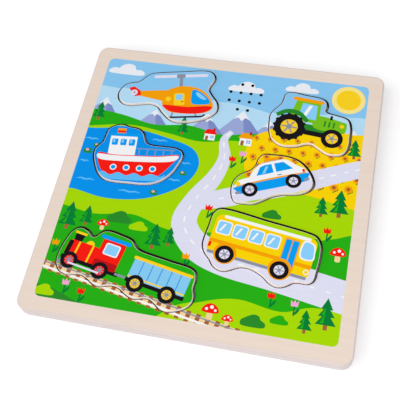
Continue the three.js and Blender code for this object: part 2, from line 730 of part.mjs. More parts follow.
// Battery box: chamber for two cells, a post for the door's screw and two ears
function batteryBox() {
  const left = BOX_AT.x - BOX_X / 2;
  const right = BOX_AT.x + BOX_X / 2;
  const innerLeft = left + BOX_WALL;
  const innerRight = right - BOX_WALL;
  const innerFront = BOX_FRONT + BOX_WALL;
  const post = new THREE.Vector2(BOX_AT.x, POST_Y);
  const doorRoom = DOOR_LIFT + DOOR_BOSS_T + DOOR_GAP;
  const earLow = CHANNEL_TOP - EAR_T;
  const earY = BOX_AT.y + EAR_AT_Y;
  const hollow = cutAll(solid(block([left, BOX_FRONT, BOX_FOOT], [right, BOX_BACK, BOX_TOP])), [
    block([innerLeft, CHAMBER_FRONT, -CUT], [innerRight, CHAMBER_BACK, CHAMBER_TOP]),
    block([innerLeft, innerFront, -CUT], [innerRight, innerFront + BOSS_ZONE, CHAMBER_TOP]),
    block([innerLeft, innerFront, -CUT], [innerRight, CHAMBER_BACK, DOOR_TOP + DOOR_GAP / 2]),
  ]);
  const earFront = earY - EAR_L / 2;
  const earBack = earY + EAR_L / 2;
  const joined = hollow
    .add(solid(rod(POST_D, post, doorRoom, CHAMBER_TOP + BOX_ROOF / 2)))
    .add(solid(block([left - EAR_L, earFront, earLow], [innerLeft, earBack, CHANNEL_TOP])))
    .add(solid(block([innerRight, earFront, earLow], [right + EAR_L, earBack, CHANNEL_TOP])));
  const bore = SCREW_D + 2 * POST_BORE_GAP;
  const earHoles = boxScrews.map((at) => (
    rod(SCREW_D + 2 * SCREW_CLEARANCE, at, earLow - CUT, CHANNEL_TOP + CUT, HOLE_SIDES)
  ));
  return shape(cutAll(joined, [
    rod(bore, post, doorRoom - CUT, CHAMBER_TOP - CUT),
    hingeRod(HINGE_PIN_D + 2 * HINGE_PIN_GAP, BOX_X + 2 * CUT),
    ...earHoles,
  ]));
}

// Battery door: round along its hinge, with two pins in the box's side walls
function batteryDoor() {
  const halfX = CHAMBER_X / 2 - DOOR_GAP;
  const front = BOX_FRONT + BOX_WALL + DOOR_GAP;
  const post = new THREE.Vector2(BOX_AT.x, POST_Y);
  const seat = DOOR_LIFT + HEAD_RECESS + DOOR_SCREW_HEAD_T;
  const joined = solid(block([BOX_AT.x - halfX, front, DOOR_LIFT], [BOX_AT.x + halfX, HINGE_Y, DOOR_TOP]))
    .add(solid(hingeRod(DOOR_T, 2 * halfX)))
    .add(solid(hingeRod(HINGE_PIN_D, 2 * (halfX + DOOR_GAP + HINGE_PIN_L))))
    .add(solid(block(
      [post.x - DOOR_BOSS / 2, post.y - DOOR_BOSS / 2, DOOR_LIFT],
      [post.x + DOOR_BOSS / 2, post.y + DOOR_BOSS / 2, DOOR_LIFT + DOOR_BOSS_T],
    )));
  return shape(cutAll(joined, [
    rod(DOOR_SCREW_HEAD_D + 2 * SCREW_CLEARANCE, post, -CUT, seat),
    rod(SCREW_D + 2 * SCREW_CLEARANCE, post, -CUT, DOOR_LIFT + DOOR_BOSS_T + CUT),
  ]));
}

// One AAA cell lying along Y, with its nub towards the given end
function cell({ x, plusEnd }) {
  const radius = CELL_D / 2;
  const nubR = NUB_D / 2;
  const bodyL = CELL_L - NUB_L;
  const bevel = CELL_GAP * 2;
  const profile = [
    [0, 0],
    [radius - bevel, 0],
    [radius, bevel],
    [radius, bodyL - bevel],
    [radius - bevel, bodyL],
    [nubR, bodyL],
    [nubR, CELL_L],
    [0, CELL_L],
  ].map(([r, along]) => new THREE.Vector2(r, along));
  const geometry = new THREE.LatheGeometry(profile, ROUND_SIDES);
  const wall = plusEnd > 0 ? CHAMBER_BACK - PLATE_T : CHAMBER_FRONT + PLATE_T;
  if (plusEnd < 0) geometry.rotateX(Math.PI);
  return geometry.translate(x, wall - plusEnd * CELL_L, CELL_Z);
}

function contactPlate(centreX, width, wallY, side) {
  const inner = wallY + side * PLATE_T;
  return block(
    [centreX - width / 2, Math.min(wallY, inner), CELL_Z - PLATE_H / 2],
    [centreX + width / 2, Math.max(wallY, inner), CELL_Z + PLATE_H / 2],
  );
}

// A conical spring between a contact plate and the flat end of a cell
function contactSpring({ x, plusEnd }) {
  const plate = plusEnd > 0 ? CHAMBER_FRONT + PLATE_T : CHAMBER_BACK - PLATE_T;
  const clear = SPRING_WIRE / 2 + SOLDER_GAP;
  const steps = SPRING_TURNS * TURN_STEPS;
  const stations = [];
  for (let step = 0; step <= steps; step += 1) {
    const share = step / steps;
    const angle = share * SPRING_TURNS * 2 * Math.PI;
    const radius = (THREE.MathUtils.lerp(SPRING_WIDE, SPRING_NARROW, share) - SPRING_WIRE) / 2;
    const along = THREE.MathUtils.lerp(clear, SPRING_L - clear, share);
    stations.push(new THREE.Vector3(
      x + radius * Math.cos(angle),
      plate + plusEnd * along,
      CELL_Z + radius * Math.sin(angle),
    ));
  }
  return tube(stations, SPRING_WIRE, WIRE_SIDES);
}

// Assembly
place('base_board', baseBoard(), PALE_BIRCH);
place('face_board', faceBoard(), BIRCH);
place('back_panel', backPanel(), HARDBOARD);
panelScrews.forEach((at, i) => {
  place(`panel_screw_${i + 1}`, screw(at, HEAD_RECESS + SCREW_HEAD_T, PANEL_SCREW_L), STEEL);
});

for (const name of pieceNames) {
  place(`piece_${name}`, liftPiece(name), finish(PIECE_COLOURS[name], 0.5));
  place(`sensor_${name}`, rod(SENSOR_D, sensorAt[name], SOLDER_Z, SENSOR_TOP), SENSOR_RESIN);
  const points = sensorLeads[name];
  const corners = [solderEnd(points[0]), ...points, solderEnd(points.at(-1))];
  place(`sensor_lead_${name}`, tube(rounded(corners, LEAD_BEND), LEAD_D, LEAD_SIDES), LEAD_PLASTIC);
}

place('circuit_board', circuitBoard(), GREEN_LAMINATE);
place('sound_chip', soundChip(), BLACK_PLASTIC);
place('capacitor', rod(CAPACITOR_D, CAPACITOR_AT, SOLDER_Z - CAPACITOR_T, SOLDER_Z), BLACK_PLASTIC);
circuitScrews.forEach((at, i) => {
  place(`board_screw_${i + 1}`, screw(at, SOLDER_Z, BOARD_SCREW_L), STEEL);
});

place('speaker_frame', speakerFrame(), STEEL);
place('speaker_cone', speakerCone(), PAPER);
place('speaker_gasket', speakerGasket(), FELT);
place('speaker_magnet', rod(MAGNET_D, SPEAKER_AT, BASKET_BOTTOM - MAGNET_T, BASKET_BOTTOM), FERRITE);
const speakerCorners = [...speakerLead, solderEnd(speakerLead.at(-1))];
place('speaker_lead', tube(rounded(speakerCorners, LEAD_BEND), LEAD_D, LEAD_SIDES), LEAD_PLASTIC);

place('battery_box', batteryBox(), BLACK_PLASTIC);
boxScrews.forEach((at, i) => {
  place(`box_screw_${i + 1}`, screw(at, CHANNEL_TOP - EAR_T, BOX_SCREW_L), STEEL);
});
place('battery_door', batteryDoor(), BLACK_PLASTIC);
const doorScrewAt = new THREE.Vector2(BOX_AT.x, POST_Y);
const doorSeat = DOOR_LIFT + HEAD_RECESS + DOOR_SCREW_HEAD_T;
place(
  'door_screw',
  screw(doorScrewAt, doorSeat, DOOR_SCREW_L, SCREW_D, DOOR_SCREW_HEAD_D, DOOR_SCREW_HEAD_T),
  STEEL,
);
cells.forEach((spec, i) => {
  place(`battery_${i + 1}`, cell(spec), CELL_WRAP);
  place(`contact_spring_${i + 1}`, contactSpring(spec), STEEL);
});
const plateX = (CHAMBER_X - PLATE_GAP) / 2;
place('bridge_contact', contactPlate(BOX_AT.x, CHAMBER_X - PLATE_GAP, CHAMBER_BACK, -1), BRASSY);
for (const { x, plusEnd } of cells) {
  const name = plusEnd > 0 ? 'minus_contact' : 'plus_contact';
  place(name, contactPlate(x, plateX - PLATE_GAP / 2, CHAMBER_FRONT, 1), BRASSY);
}
const batteryCorners = [...batteryLead, solderEnd(batteryLead.at(-1))];
place('battery_lead', tube(rounded(batteryCorners, LEAD_BEND), LEAD_D, LEAD_SIDES), LEAD_PLASTIC);

export default puzzle;
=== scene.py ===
"""Dresses the packed wooden sound puzzle: printed wood, hardware and a small studio."""

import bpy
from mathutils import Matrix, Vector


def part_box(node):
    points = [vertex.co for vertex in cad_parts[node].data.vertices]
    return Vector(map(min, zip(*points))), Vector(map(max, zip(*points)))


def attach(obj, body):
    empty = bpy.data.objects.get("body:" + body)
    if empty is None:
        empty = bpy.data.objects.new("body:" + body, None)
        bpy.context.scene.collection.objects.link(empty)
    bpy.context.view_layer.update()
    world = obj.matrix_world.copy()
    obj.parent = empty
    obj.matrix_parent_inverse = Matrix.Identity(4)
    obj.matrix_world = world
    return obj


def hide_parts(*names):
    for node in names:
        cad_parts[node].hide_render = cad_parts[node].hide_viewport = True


bl_info = {
    "name": "Wooden sound puzzle",
    "version": (1, 0, 0),
    "blender": (4, 5, 0),
    "location": "View3D > Sidebar > Sound puzzle",
    "description": "Printed board, lift-out vehicles, hardware and studio for a sound puzzle",
    "category": "Object",
}

import math

import bmesh
import bpy
from bpy.props import FloatProperty, FloatVectorProperty, IntProperty, PointerProperty
from bpy.types import Operator, Panel, PropertyGroup
from mathutils import Matrix, Vector
from mathutils.geometry import delaunay_2d_cdt

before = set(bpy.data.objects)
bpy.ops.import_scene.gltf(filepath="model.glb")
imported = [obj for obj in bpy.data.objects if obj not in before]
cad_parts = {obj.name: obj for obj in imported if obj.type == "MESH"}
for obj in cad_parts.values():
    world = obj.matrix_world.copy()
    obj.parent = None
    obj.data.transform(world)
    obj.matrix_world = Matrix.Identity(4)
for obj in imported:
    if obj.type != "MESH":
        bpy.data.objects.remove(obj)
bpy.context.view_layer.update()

# Outlines and drawings are worked out in millimetres, meshes are in metres
MM = 0.001
FULL_CHANNEL = 255

# CAD points this close are one point, and rim points too, so that a rounded edge can't fold there
WELD = 0.002 * MM
RIM_WELD = 0.12 * MM

# Heights this close are one level, and a face whose normal is this upright lies in it
LEVEL = 0.01 * MM
LEVEL_FACE = 0.99

# Drawn points this close, in millimetres, are one point, and a cut keeps every triangle of its hull
MERGE = 1e-4
HULL_TRIANGLES = 0

BOARD_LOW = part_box("base_board")[0].z
BOARD_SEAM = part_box("face_board")[0].z
BOARD_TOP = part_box("face_board")[1].z
BOARD_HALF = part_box("face_board")[1].x
PANEL_SCREWS = sorted(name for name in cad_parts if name.startswith("panel_screw_"))

# Facets of the board's corners, its print's corners, its holes and the lips round its openings
BOARD_CORNER_STEPS = 14
PRINT_CORNER_STEPS = 8
HOLE_FACETS = 28
LIP_STEPS = 3

# Widest ring, in millimetres, that is a speaker hole and not a recess
LARGEST_HOLE = 5

# Material slots of the printed solids; the recess and hole slots hold painted shade, and the outer-side
# slot the sawn sides' tone with painted shade
INK_SLOT = 0
WOOD_SLOT = 1
RECESS_SHADE_SLOT = 2
HOLE_SHADE_SLOT = 3
EDGE_AND_SHADE_SLOT = 4

# Edges under this angle are shaded smooth, and sharper ones of the small hardware are rounded
SMOOTH_ANGLE = math.radians(35)
SMALL_SMOOTH_ANGLE = math.radians(32)
ROUNDED_ANGLE = 0.6
ROUNDED_STEPS = 2

# Points between two drawn points, facets of drawn corners, and points round an oval
CURVE_STEPS = 6
BAND_STEPS = 8
DASH_STEPS = 24
DRAWN_CORNER_STEPS = 4
OVAL_POINTS = 8
FEWEST_OVAL_POINTS = 14
MOST_OVAL_POINTS = 56


# Properties


def ink(name, description, red, green, blue):
    """A colour as it is seen on screen, from 0 to 255 a channel."""
    default = [channel / FULL_CHANNEL for channel in (red, green, blue)]
    return FloatVectorProperty(
        name=name, description=description, default=default, subtype="COLOR_GAMMA", min=0, max=1
    )


def length(name, description, millimetres):
    """A length in metres, with its default in millimetres."""
    return FloatProperty(
        name=name, description=description, default=millimetres * MM, min=0, unit="LENGTH", precision=5
    )


def angle(name, description, degrees):
    """An angle, with its default in degrees."""
    return FloatProperty(
        name=name, description=description, default=math.radians(degrees), subtype="ANGLE"
    )


def location(name, description, *metres):
    """A place in the room, in metres."""
    return FloatVectorProperty(name=name, description=description, default=metres, unit="LENGTH")


class PuzzleSizes(PropertyGroup):
    """Sizes of the visible wood and its print"""

    board_corner: length("Board corner", "Radius of the board's four corners", 10)
    board_edge: length("Board edge", "Rounding of the board's upper edge", 1.5)
    seam_edge: length("Seam edge", "Rounding where the two layers meet", 0.35)
    # The recess rims take the dark recess colour, which is painted shade for the gaps round the pieces
    recess_lip: length("Recess lip", "Rounding at the burnt rim of each recess", 0.4)
    hole_lip: length("Hole lip", "Rounding at the rim of each speaker hole", 0.3)
    piece_edge: length("Piece edge", "Rounding of the lift-out pieces", 0.35)
    print_margin: length("Bare margin", "Width of the unprinted border", 14.25)
    print_corner: length("Print corner", "Radius of the print's corners", 5.5)
    edge_steps: IntProperty(
        name="Edge steps", description="Facets across a rounded edge", default=5, min=2, max=12
    )
    outline_steps: IntProperty(
        name="Outline steps", description="Points between two outline points", default=4, min=1, max=8
    )
    cross_slot: length("Cross slot", "Width of the cross in a screw's head", 0.8)
    screw_head: length("Screw head", "Height of a screw's head", 1.4)
    screw_shank: length("Screw shank", "Width of a screw's shank", 2.4)
    screw_edge: length("Screw edge", "Rounding of a screw's edges", 0.12)
    rib_width: length("Rib width", "Width of a grip rib on the battery door", 1.0)
    rib_length: length("Rib length", "Length of a grip rib", 14)
    rib_height: length("Rib height", "Height of a grip rib", 0.25)
    rib_edge: length("Rib edge", "Rounding of a grip rib", 0.1)
    rib_pitch: length("Rib pitch", "Distance from one grip rib to the next", 2.2)
    rib_start: length("Rib start", "Distance of the first grip rib from the door's screw", 9)
    rib_count: IntProperty(
        name="Rib count", description="Grip ribs on the door", default=5, min=1, max=9
    )


class PuzzleWoods(PropertyGroup):
    """Colours of the bare wood and board"""

    face: ink("Face layer", "Upper birch layer", 237, 220, 206)
    face_grain: ink("Face grain", "Grain of the upper layer", 233, 214, 199)
    # The outer sides are the sawn wood's own tone, darkened further as painted shade so that they read
    # darker than the lit top
    edge: ink("Sawn edge", "Outer sides of the upper layer", 223, 209, 205)
    edge_grain: ink("Edge grain", "Fibres in the outer sides", 216, 201, 196)
    base: ink("Base layer", "Lower birch layer", 222, 212, 211)
    base_grain: ink("Base grain", "Grain of the lower layer", 215, 204, 202)
    cut: ink("Cut edge", "Sawn sides of the lift-out pieces", 252, 236, 229)
    cut_grain: ink("Cut edge grain", "Fibres in the sawn sides", 243, 223, 213)
    # Recess walls and rims are painted near-black brown: painted shade standing in for the shade deep in
    # the narrow gaps round the pieces
    recess_shade: ink("Burnt cut", "Recess walls as the cutting leaves them", 54, 39, 29)
    # Speaker hole walls are painted near-black: painted shade inside the holes
    hole: ink("Hole", "Charred walls of the speaker's holes", 35, 28, 24)
    panel: ink("Back panel", "Hardboard of the underside", 190, 160, 124)
    panel_fibre: ink("Panel fibre", "Darker fibres in the hardboard", 160, 127, 92)


class PuzzleInks(PropertyGroup):
    """Colours of the print"""

    sky: ink("Sky", "Upper sky", 138, 202, 245)
    haze: ink("Haze", "Sky above the hills", 184, 225, 250)
    cloud: ink("Cloud", "Clouds and snow", 240, 243, 250)
    sun: ink("Sun", "Sun and warm yellows", 255, 212, 30)
    glow: ink("Glow", "Ring round the sun", 255, 233, 140)
    rock: ink("Rock", "Mountains", 158, 172, 220)
    rock_shade: ink("Rock shade", "Shaded side of the mountains", 128, 144, 202)
    hill: ink("Hill", "Far hills and grass", 36, 176, 18)
    meadow: ink("Meadow", "Bright meadows", 169, 219, 0)
    leaf: ink("Leaf", "Conifers and reeds", 0, 128, 52)
    field: ink("Field", "Ripe field", 253, 214, 0)
    amber: ink("Amber", "Sunflowers and warm trim", 250, 163, 0)
    sand: ink("Sand", "Shores and walls", 245, 215, 160)
    water: ink("Water", "Lake", 0, 148, 240)
    ripple: ink("Ripple", "Ripples on the lake", 96, 190, 250)
    road: ink("Road", "Roads and rail bed", 226, 226, 246)
    white: ink("White", "Road lines and white paint", 249, 249, 251)
    red: ink("Red", "Roofs and red paint", 250, 26, 14)
    dark_red: ink("Dark red", "Shaded red paint", 190, 14, 20)
    brown: ink("Brown", "Trunks, sleepers and doors", 168, 98, 56)
    black: ink("Black", "Tyres and ironwork", 20, 16, 22)
    grey: ink("Grey", "Metal fittings", 142, 148, 166)
    hub: ink("Hub", "Wheel hubs", 230, 225, 245)
    green: ink("Green", "Green paint", 120, 196, 24)
    dark_green: ink("Dark green", "Shaded green paint", 40, 140, 40)
    glass: ink("Glass", "Deep blue windows", 0, 160, 245)
    pale_glass: ink("Pale glass", "Pale blue windows", 140, 210, 255)
    wagon: ink("Wagon", "Pale blue paint", 135, 205, 245)
    wagon_line: ink("Wagon line", "Lines on pale blue paint", 66, 156, 226)
    pink: ink("Pink", "Blossom", 245, 170, 215)


class PuzzleStudio(PropertyGroup):
    """Camera and light"""

    lens: FloatProperty(
        name="Lens", description="Focal length in millimetres", default=65.72, min=10, unit="CAMERA"
    )
    roll: angle("Roll", "Turn of the camera about its view", -9.81)
    camera: location("Camera", "Place of the camera", 0.1071, -0.32459, 0.62086)
    target: location("Target", "Point at the picture's middle", -0.00694, -0.01692, 0.0165)
    world_light: FloatProperty(
        name="World light", description="Even light from all round", default=0.62, min=0
    )
    key_light: FloatProperty(
        name="Key light", description="Soft lamp from the front left", default=1.16, min=0
    )
    key_width: angle("Key width", "Angle across the soft lamp", 60)
    key_aim: FloatVectorProperty(
        name="Key aim", description="Way the soft lamp shines", default=(0.76, 0.45, -0.7),
        subtype="DIRECTION",
    )
    fill_light: FloatProperty(
        name="Fill light", description="Soft lamp close in front of the board", default=1.2, min=0,
        unit="POWER",
    )
    fill_width: length("Fill width", "Width of the lamp in front", 500)
    fill_place: location("Fill place", "Place of the lamp in front", 0.2, -0.65, 0.55)
    floor_lift: FloatProperty(
        name="Floor lift", description="Glow that keeps the open floor white", default=0.21, min=0
    )


def linear(colour):
    """A screen colour as the linear light that shaders take, with full opacity."""
    channels = [c / 12.92 if c <= 0.04045 else ((c + 0.055) / 1.055) ** 2.4 for c in colour]
    return (*channels, 1.0)


def grey_level(value):
    """A neutral screen colour from 0 to 255."""
    return linear((value / FULL_CHANNEL,) * 3)


# Flat outlines


def area(ring):
    """Signed area of a ring, positive when it runs anticlockwise."""
    turns = zip(ring, ring[1:] + ring[:1])
    return sum(a[0] * b[1] - b[0] * a[1] for a, b in turns) / 2


def grown(ring, distance):
    """An anticlockwise ring moved outwards along its own normals."""
    moved = []
    for before, here, after in zip(ring[-1:] + ring[:-1], ring, ring[1:] + ring[:1]):
        along = Vector((after[0] - before[0], after[1] - before[1])).normalized()
        moved.append((here[0] + along.y * distance, here[1] - along.x * distance))
    return moved


def spline(points, steps, closed=True):
    """A smooth curve through points, each a tuple of any length."""
    count = len(points)
    spans = count if closed else count - 1
    curve = []
    for i in range(spans):
        if closed:
            a, b, c, d = (points[(i + k) % count] for k in (-1, 0, 1, 2))
        else:
            a, b, c, d = (points[min(max(i + k, 0), count - 1)] for k in (-1, 0, 1, 2))
        for step in range(steps):
            t = step / steps
            curve.append(tuple(
                0.5 * (2 * q + (r - p) * t + (2 * p - 5 * q + 4 * r - s) * t ** 2
                       + (3 * q - p - 3 * r + s) * t ** 3)
                for p, q, r, s in zip(a, b, c, d)
            ))
    if not closed:
        curve.append(tuple(points[-1]))
    return curve


def round_box(half_x, half_y, radius, steps):
    """An anticlockwise box about the origin with rounded corners."""
    if radius <= 0:
        return [(half_x, half_y), (-half_x, half_y), (-half_x, -half_y), (half_x, -half_y)]
    ring = []
    for corner, (side_x, side_y) in enumerate(((1, 1), (-1, 1), (-1, -1), (1, -1))):
        for step in range(steps + 1):
            angle = (corner + step / steps) * math.pi / 2
            x = side_x * (half_x - radius) + radius * math.cos(angle)
            y = side_y * (half_y - radius) + radius * math.sin(angle)
            ring.append((x, y))
    return ring


def oval_ring(x, y, radius_x, radius_y, count):
    """An anticlockwise oval."""
    angles = [2 * math.pi * i / count for i in range(count)]
    return [(x + radius_x * math.cos(a), y + radius_y * math.sin(a)) for a in angles]


def welded(node):
    """A CAD node's triangles as one merged copy."""
    bm = bmesh.new()
    bm.from_mesh(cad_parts[node].data)
    bmesh.ops.remove_doubles(bm, verts=bm.verts, dist=WELD)
    bm.normal_update()
    return bm


def level_rings(node, height):
    """Anticlockwise rings, in millimetres, where a CAD node turns away from one level."""
    bm = welded(node)
    links = {}
    for edge in bm.edges:
        on_level = all(abs(vert.co.z - height) < LEVEL for vert in edge.verts)
        if on_level and sum(abs(face.normal.z) > LEVEL_FACE for face in edge.link_faces) < 2:
            one, other = edge.verts
            links.setdefault(one, []).append(other)
            links.setdefault(other, []).append(one)
    rings = []
    while links:
        ring = [next(iter(links))]
        ahead = links.pop(ring[0])
        while ahead:
            ring.append(ahead[0])
            ahead = [vert for vert in links.pop(ring[-1]) if vert in links]
        flat = [(vert.co.x / MM, vert.co.y / MM) for vert in ring]
        rings.append(flat if area(flat) > 0 else flat[::-1])
    bm.free()
    return rings


def shoulder(node):
    """Height, in metres, where a CAD node's sides turn into its upper edge."""
    levels = sorted({round(vert.co.z / LEVEL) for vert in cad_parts[node].data.vertices})
    return levels[-2] * LEVEL


def middle(ring):
    """Centre of a ring's box."""
    xs, ys = zip(*ring)
    return (min(xs) + max(xs)) / 2, (min(ys) + max(ys)) / 2


def reach(ring):
    """Longer side of a ring's box."""
    xs, ys = zip(*ring)
    return max(max(xs) - min(xs), max(ys) - min(ys))


# Drawing


class Pen:
    """Lays inked shapes on a drawing, in millimetres, about its own origin, turn and size.

    A later shape covers an earlier one."""

    def __init__(self, shapes, x=0.0, y=0.0, turn=0.0, size=1.0):
        self.shapes = shapes
        self.x = x
        self.y = y
        self.turn = turn
        self.size = size

    def place(self, x, y):
        """A point of this pen's own frame, on the drawing."""
        angle = math.radians(self.turn)
        along_x = x * math.cos(angle) - y * math.sin(angle)
        along_y = x * math.sin(angle) + y * math.cos(angle)
        return self.x + self.size * along_x, self.y + self.size * along_y

    def at(self, x, y, turn=0.0, size=1.0):
        """A pen for the same drawing with its origin, turn and size within this one's."""
        return Pen(self.shapes, *self.place(x, y), self.turn + turn, self.size * size)

    def patch(self, colour, *points):
        """A shape with straight sides."""
        ring = [self.place(x, y) for x, y in points]
        self.shapes.append((colour, ring if area(ring) > 0 else ring[::-1]))

    def curve(self, colour, *points):
        """A shape with a smooth outline through its points."""
        self.patch(colour, *spline(points, CURVE_STEPS))

    def oval(self, colour, x, y, radius_x, radius_y=None):
        """An oval, or a disc where only one radius is given."""
        radius_y = radius_y or radius_x
        count = round(OVAL_POINTS * math.sqrt(max(radius_x, radius_y) * self.size))
        count = min(max(count, FEWEST_OVAL_POINTS), MOST_OVAL_POINTS)
        self.patch(colour, *oval_ring(x, y, radius_x, radius_y, count))

    def box(self, colour, x, y, width, height, corner=0.0):
        """A box about its middle."""
        ring = round_box(width / 2, height / 2, corner, DRAWN_CORNER_STEPS)
        self.patch(colour, *[(x + dx, y + dy) for dx, dy in ring])

    def band(self, colour, *stations):
        """A smooth stripe through (x, y, width) stations."""
        self.patch(colour, *band_ring(spline(stations, BAND_STEPS, closed=False)))

    def line(self, colour, width, *points):
        """A straight-sided stripe of one width."""
        self.patch(colour, *band_ring([(x, y, width) for x, y in points]))

    def dashes(self, colour, width, dash, gap, *stations):
        """Short stripes along a smooth way."""
        way = [(x, y, width) for x, y, *_ in spline(stations, DASH_STEPS, closed=False)]
        part = []
        run = 0.0
        for before, here in zip(way, way[1:]):
            run += math.dist(before[:2], here[:2])
            drawing = run % (dash + gap) < dash
            if drawing:
                part.append(here)
                continue
            if len(part) > 1:
                self.patch(colour, *band_ring(part))
            part = []


def band_ring(stations):
    """Outline of a stripe through (x, y, width) stations."""
    left = []
    right = []
    last = len(stations) - 1
    for i, (x, y, width) in enumerate(stations):
        before = stations[max(i - 1, 0)]
        after = stations[min(i + 1, last)]
        along = Vector((after[0] - before[0], after[1] - before[1])).normalized()
        left.append((x - along.y * width / 2, y + along.x * width / 2))
        right.append((x + along.y * width / 2, y - along.x * width / 2))
    return right + left[::-1]


def pine(pen, x, y, size):
    tree = pen.at(x, y, size=size)
    tree.box("brown", 0, 1.5, 2.4, 4)
    for low, width, high in ((2.5, 12, 11), (7.5, 9.6, 15), (12, 7, 19)):
        tree.patch("leaf", (-width / 2, low), (width / 2, low), (0, high))
    tree.patch("hill", (-3.4, 3.4), (-1.2, 3.4), (-0.9, 9))
    tree.patch("hill", (-2.8, 8.4), (-1, 8.4), (-0.7, 13))


def house(pen, x, y, size, paint):
    home = pen.at(x, y, size=size)
    home.box("white", 0, 5, 14, 10)
    home.patch(paint, (-9, 9.5), (9, 9.5), (5, 17), (-5, 17))
    home.box("dark_red", 4.5, 17, 2.6, 4.4)
    home.box("brown", -3.6, 3.2, 3.6, 6.4)
    home.box("glass", 3.2, 5.2, 4.4, 4.2)
    home.box("white", 3.2, 5.2, 0.7, 4.2)
    home.box("white", 3.2, 5.2, 4.4, 0.7)


def mushroom(pen, x, y, size):
    plant = pen.at(x, y, size=size)
    plant.curve("sand", (-1.6, 0), (1.6, 0), (1.2, 5), (-1.2, 5))
    plant.curve("red", (-5, 4.4), (0, 3.6), (5, 4.4), (3.6, 8), (0, 9.6), (-3.6, 8))
    for dot_x, dot_y, radius in ((-2.4, 6, 0.9), (0.6, 7.4, 1.1), (2.9, 5.6, 0.8)):
        plant.oval("white", dot_x, dot_y, radius)


def tulip(pen, x, y, paint):
    plant = pen.at(x, y, size=1.5)
    plant.line("leaf", 0.9, (0, -3), (0.2, 3))
    plant.curve("leaf", (0, -3), (2.6, -0.4), (3, 2), (1, 0))
    plant.patch(paint, (-2, 2.6), (2, 2.6), (2.4, 6.4), (1, 4.9), (0, 6.8), (-1, 4.9), (-2.4, 6.4))


def sunflower(pen, x, y, size):
    plant = pen.at(x, y, size=size)
    plant.line("dark_green", 0.9, (0, -4.6), (0, 0))
    plant.curve("dark_green", (0, -4), (3, -2.6), (3.4, -1), (1, -2))
    for petal in range(PETALS):
        plant.at(0, 0, 360 / PETALS * petal).oval("amber", 2.1, 0, 1.5, 0.95)
    plant.oval("brown", 0, 0, 1.5)


def bush(pen, x, y, size, paint):
    plant = pen.at(x, y, size=size)
    plant.curve(
        paint, (-9, 0), (0, -0.8), (9, 0), (9.6, 3.6), (6, 6), (4, 9), (0, 9.8), (-3.4, 8.4),
        (-6.6, 6.4), (-9.6, 4),
    )


def cloud(pen, x, y, size):
    puff = pen.at(x, y, size=size)
    puff.curve(
        "cloud", (-15, -3), (0, -3.6), (15, -3), (16.4, 0.6), (12, 3), (8.4, 2.6), (6, 7), (0, 8.6),
        (-5.4, 6.2), (-8, 2.8), (-12, 3.2), (-16.2, 0.4),
    )


def peak(pen, x, y, width, height):
    """A mountain with a shaded side and a ragged snow cap."""
    hill = pen.at(x, y)
    half = width / 2
    snow = 0.68 * height
    hill.patch("rock", (-half, 0), (half, 0), (0, height))
    hill.patch("rock_shade", (half * 0.25, 0), (half, 0), (0, height), (half * 0.1, height * 0.5))
    edge = half * (1 - snow / height)
    hill.patch(
        "cloud", (0, height), (-edge, snow), (-edge * 0.45, snow + height * 0.07),
        (0, snow - height * 0.05), (edge * 0.4, snow + height * 0.08), (edge, snow),
    )


MAIN_ROAD = (
    (150, -93, 31), (77, -81, 30), (26, -74, 29), (-2, -63, 27), (-17, -42, 24), (-11, -16, 20),
    (2, 10, 16), (7, 32, 12), (3, 52, 8), (9, 63, 5),
)
SIDE_ROAD = ((-13, -21, 15), (10, -13, 19), (38, -2, 20), (77, 13, 20), (110, 28, 19), (150, 45, 18))

# Middle of the foot, width and height of each mountain
PEAKS = ((-126, 44, 30), (-72, 36, 22), (44, 40, 24), (16, 52, 33), (-18, 40, 23), (126, 40, 26))
PEAK_FOOT = 56

# Edge of the lake, with its ripples as (x, y, width) and its water lilies as (x, y, size)
SHORE = (
    (-165, 40), (-128, 47), (-90, 52), (-52, 46), (-26, 38), (-16, 22), (-21, 3), (-38, -13),
    (-64, -25), (-98, -29), (-130, -24), (-165, -20),
)
RIPPLES = (
    (-128, 34, 14), (-122, -12, 18), (-60, 42, 16), (-30, 20, 12), (-36, 0, 12), (-76, -19, 22),
    (-129, 8, 9),
)
LILIES = ((-128, 20, 4.2), (-121, 27.5, 3.1), (-29, 9, 3.4), (-52, -16, 3.8))

# Sunflowers: place of the first one, steps to the next one and to the next row, which is smaller
SUNFLOWER_ROWS = 5
SUNFLOWERS_IN_ROW = 8
FIRST_SUNFLOWER = (34, 16)
SUNFLOWER_STEP = 13.4
SUNFLOWER_ROW_STEP = 11
SUNFLOWER_SIZE = 1.25
SUNFLOWER_SHRINK = 0.1
PETALS = 8

# Railway in the train's own frame: its middle and length, its bed, and its sleepers
TRACK_X = 20
TRACK_LENGTH = 260
BED_Y = -10.6
SLEEPERS = 27
FIRST_SLEEPER = -98
SLEEPER_STEP = 9

# Plants as (x, y) with a size or a colour
PINES = (
    (-129, 58, 1.15), (-40, 53, 1.0), (129, 50, 1.15), (122, -14, 1.5), (106, -16, 1.1),
    (-126, -66, 1.5), (-109, -60, 1.1), (-41, -73, 1.35), (-27, -68, 1.0), (123, -122, 1.5),
    (106, -128, 1.1),
)
BUSHES = (
    (-78, -52, 1.2, "dark_green"), (-58, -57, 0.9, "meadow"), (62, -25, 0.9, "dark_green"),
    (62, -130, 1.1, "dark_green"), (84, -124, 0.8, "hill"), (-128, -133, 1.0, "meadow"),
)
MUSHROOMS = ((24, -130, 1.5), (40, -133, 1.0), (-92, -62, 1.1), (126, -58, 1.4))
TULIPS = (
    (15, 26, "red"), (24, 33, "pink"), (-8, -82, "amber"), (74, -106, "red"), (95, -110, "pink"),
    (114, -36, "red"), (-131, -88, "amber"), (-110, -125, "pink"), (-94, -131, "red"), (3, -30, "red"),
)


def sunflowers(pen):
    """Staggered rows that grow smaller with distance."""
    x, y = FIRST_SUNFLOWER
    for row in range(SUNFLOWER_ROWS):
        stagger = 0.5 * (row % 2)
        size = SUNFLOWER_SIZE - SUNFLOWER_SHRINK * row
        for place in range(SUNFLOWERS_IN_ROW):
            sunflower(pen, x + SUNFLOWER_STEP * (place + stagger), y + SUNFLOWER_ROW_STEP * row, size)


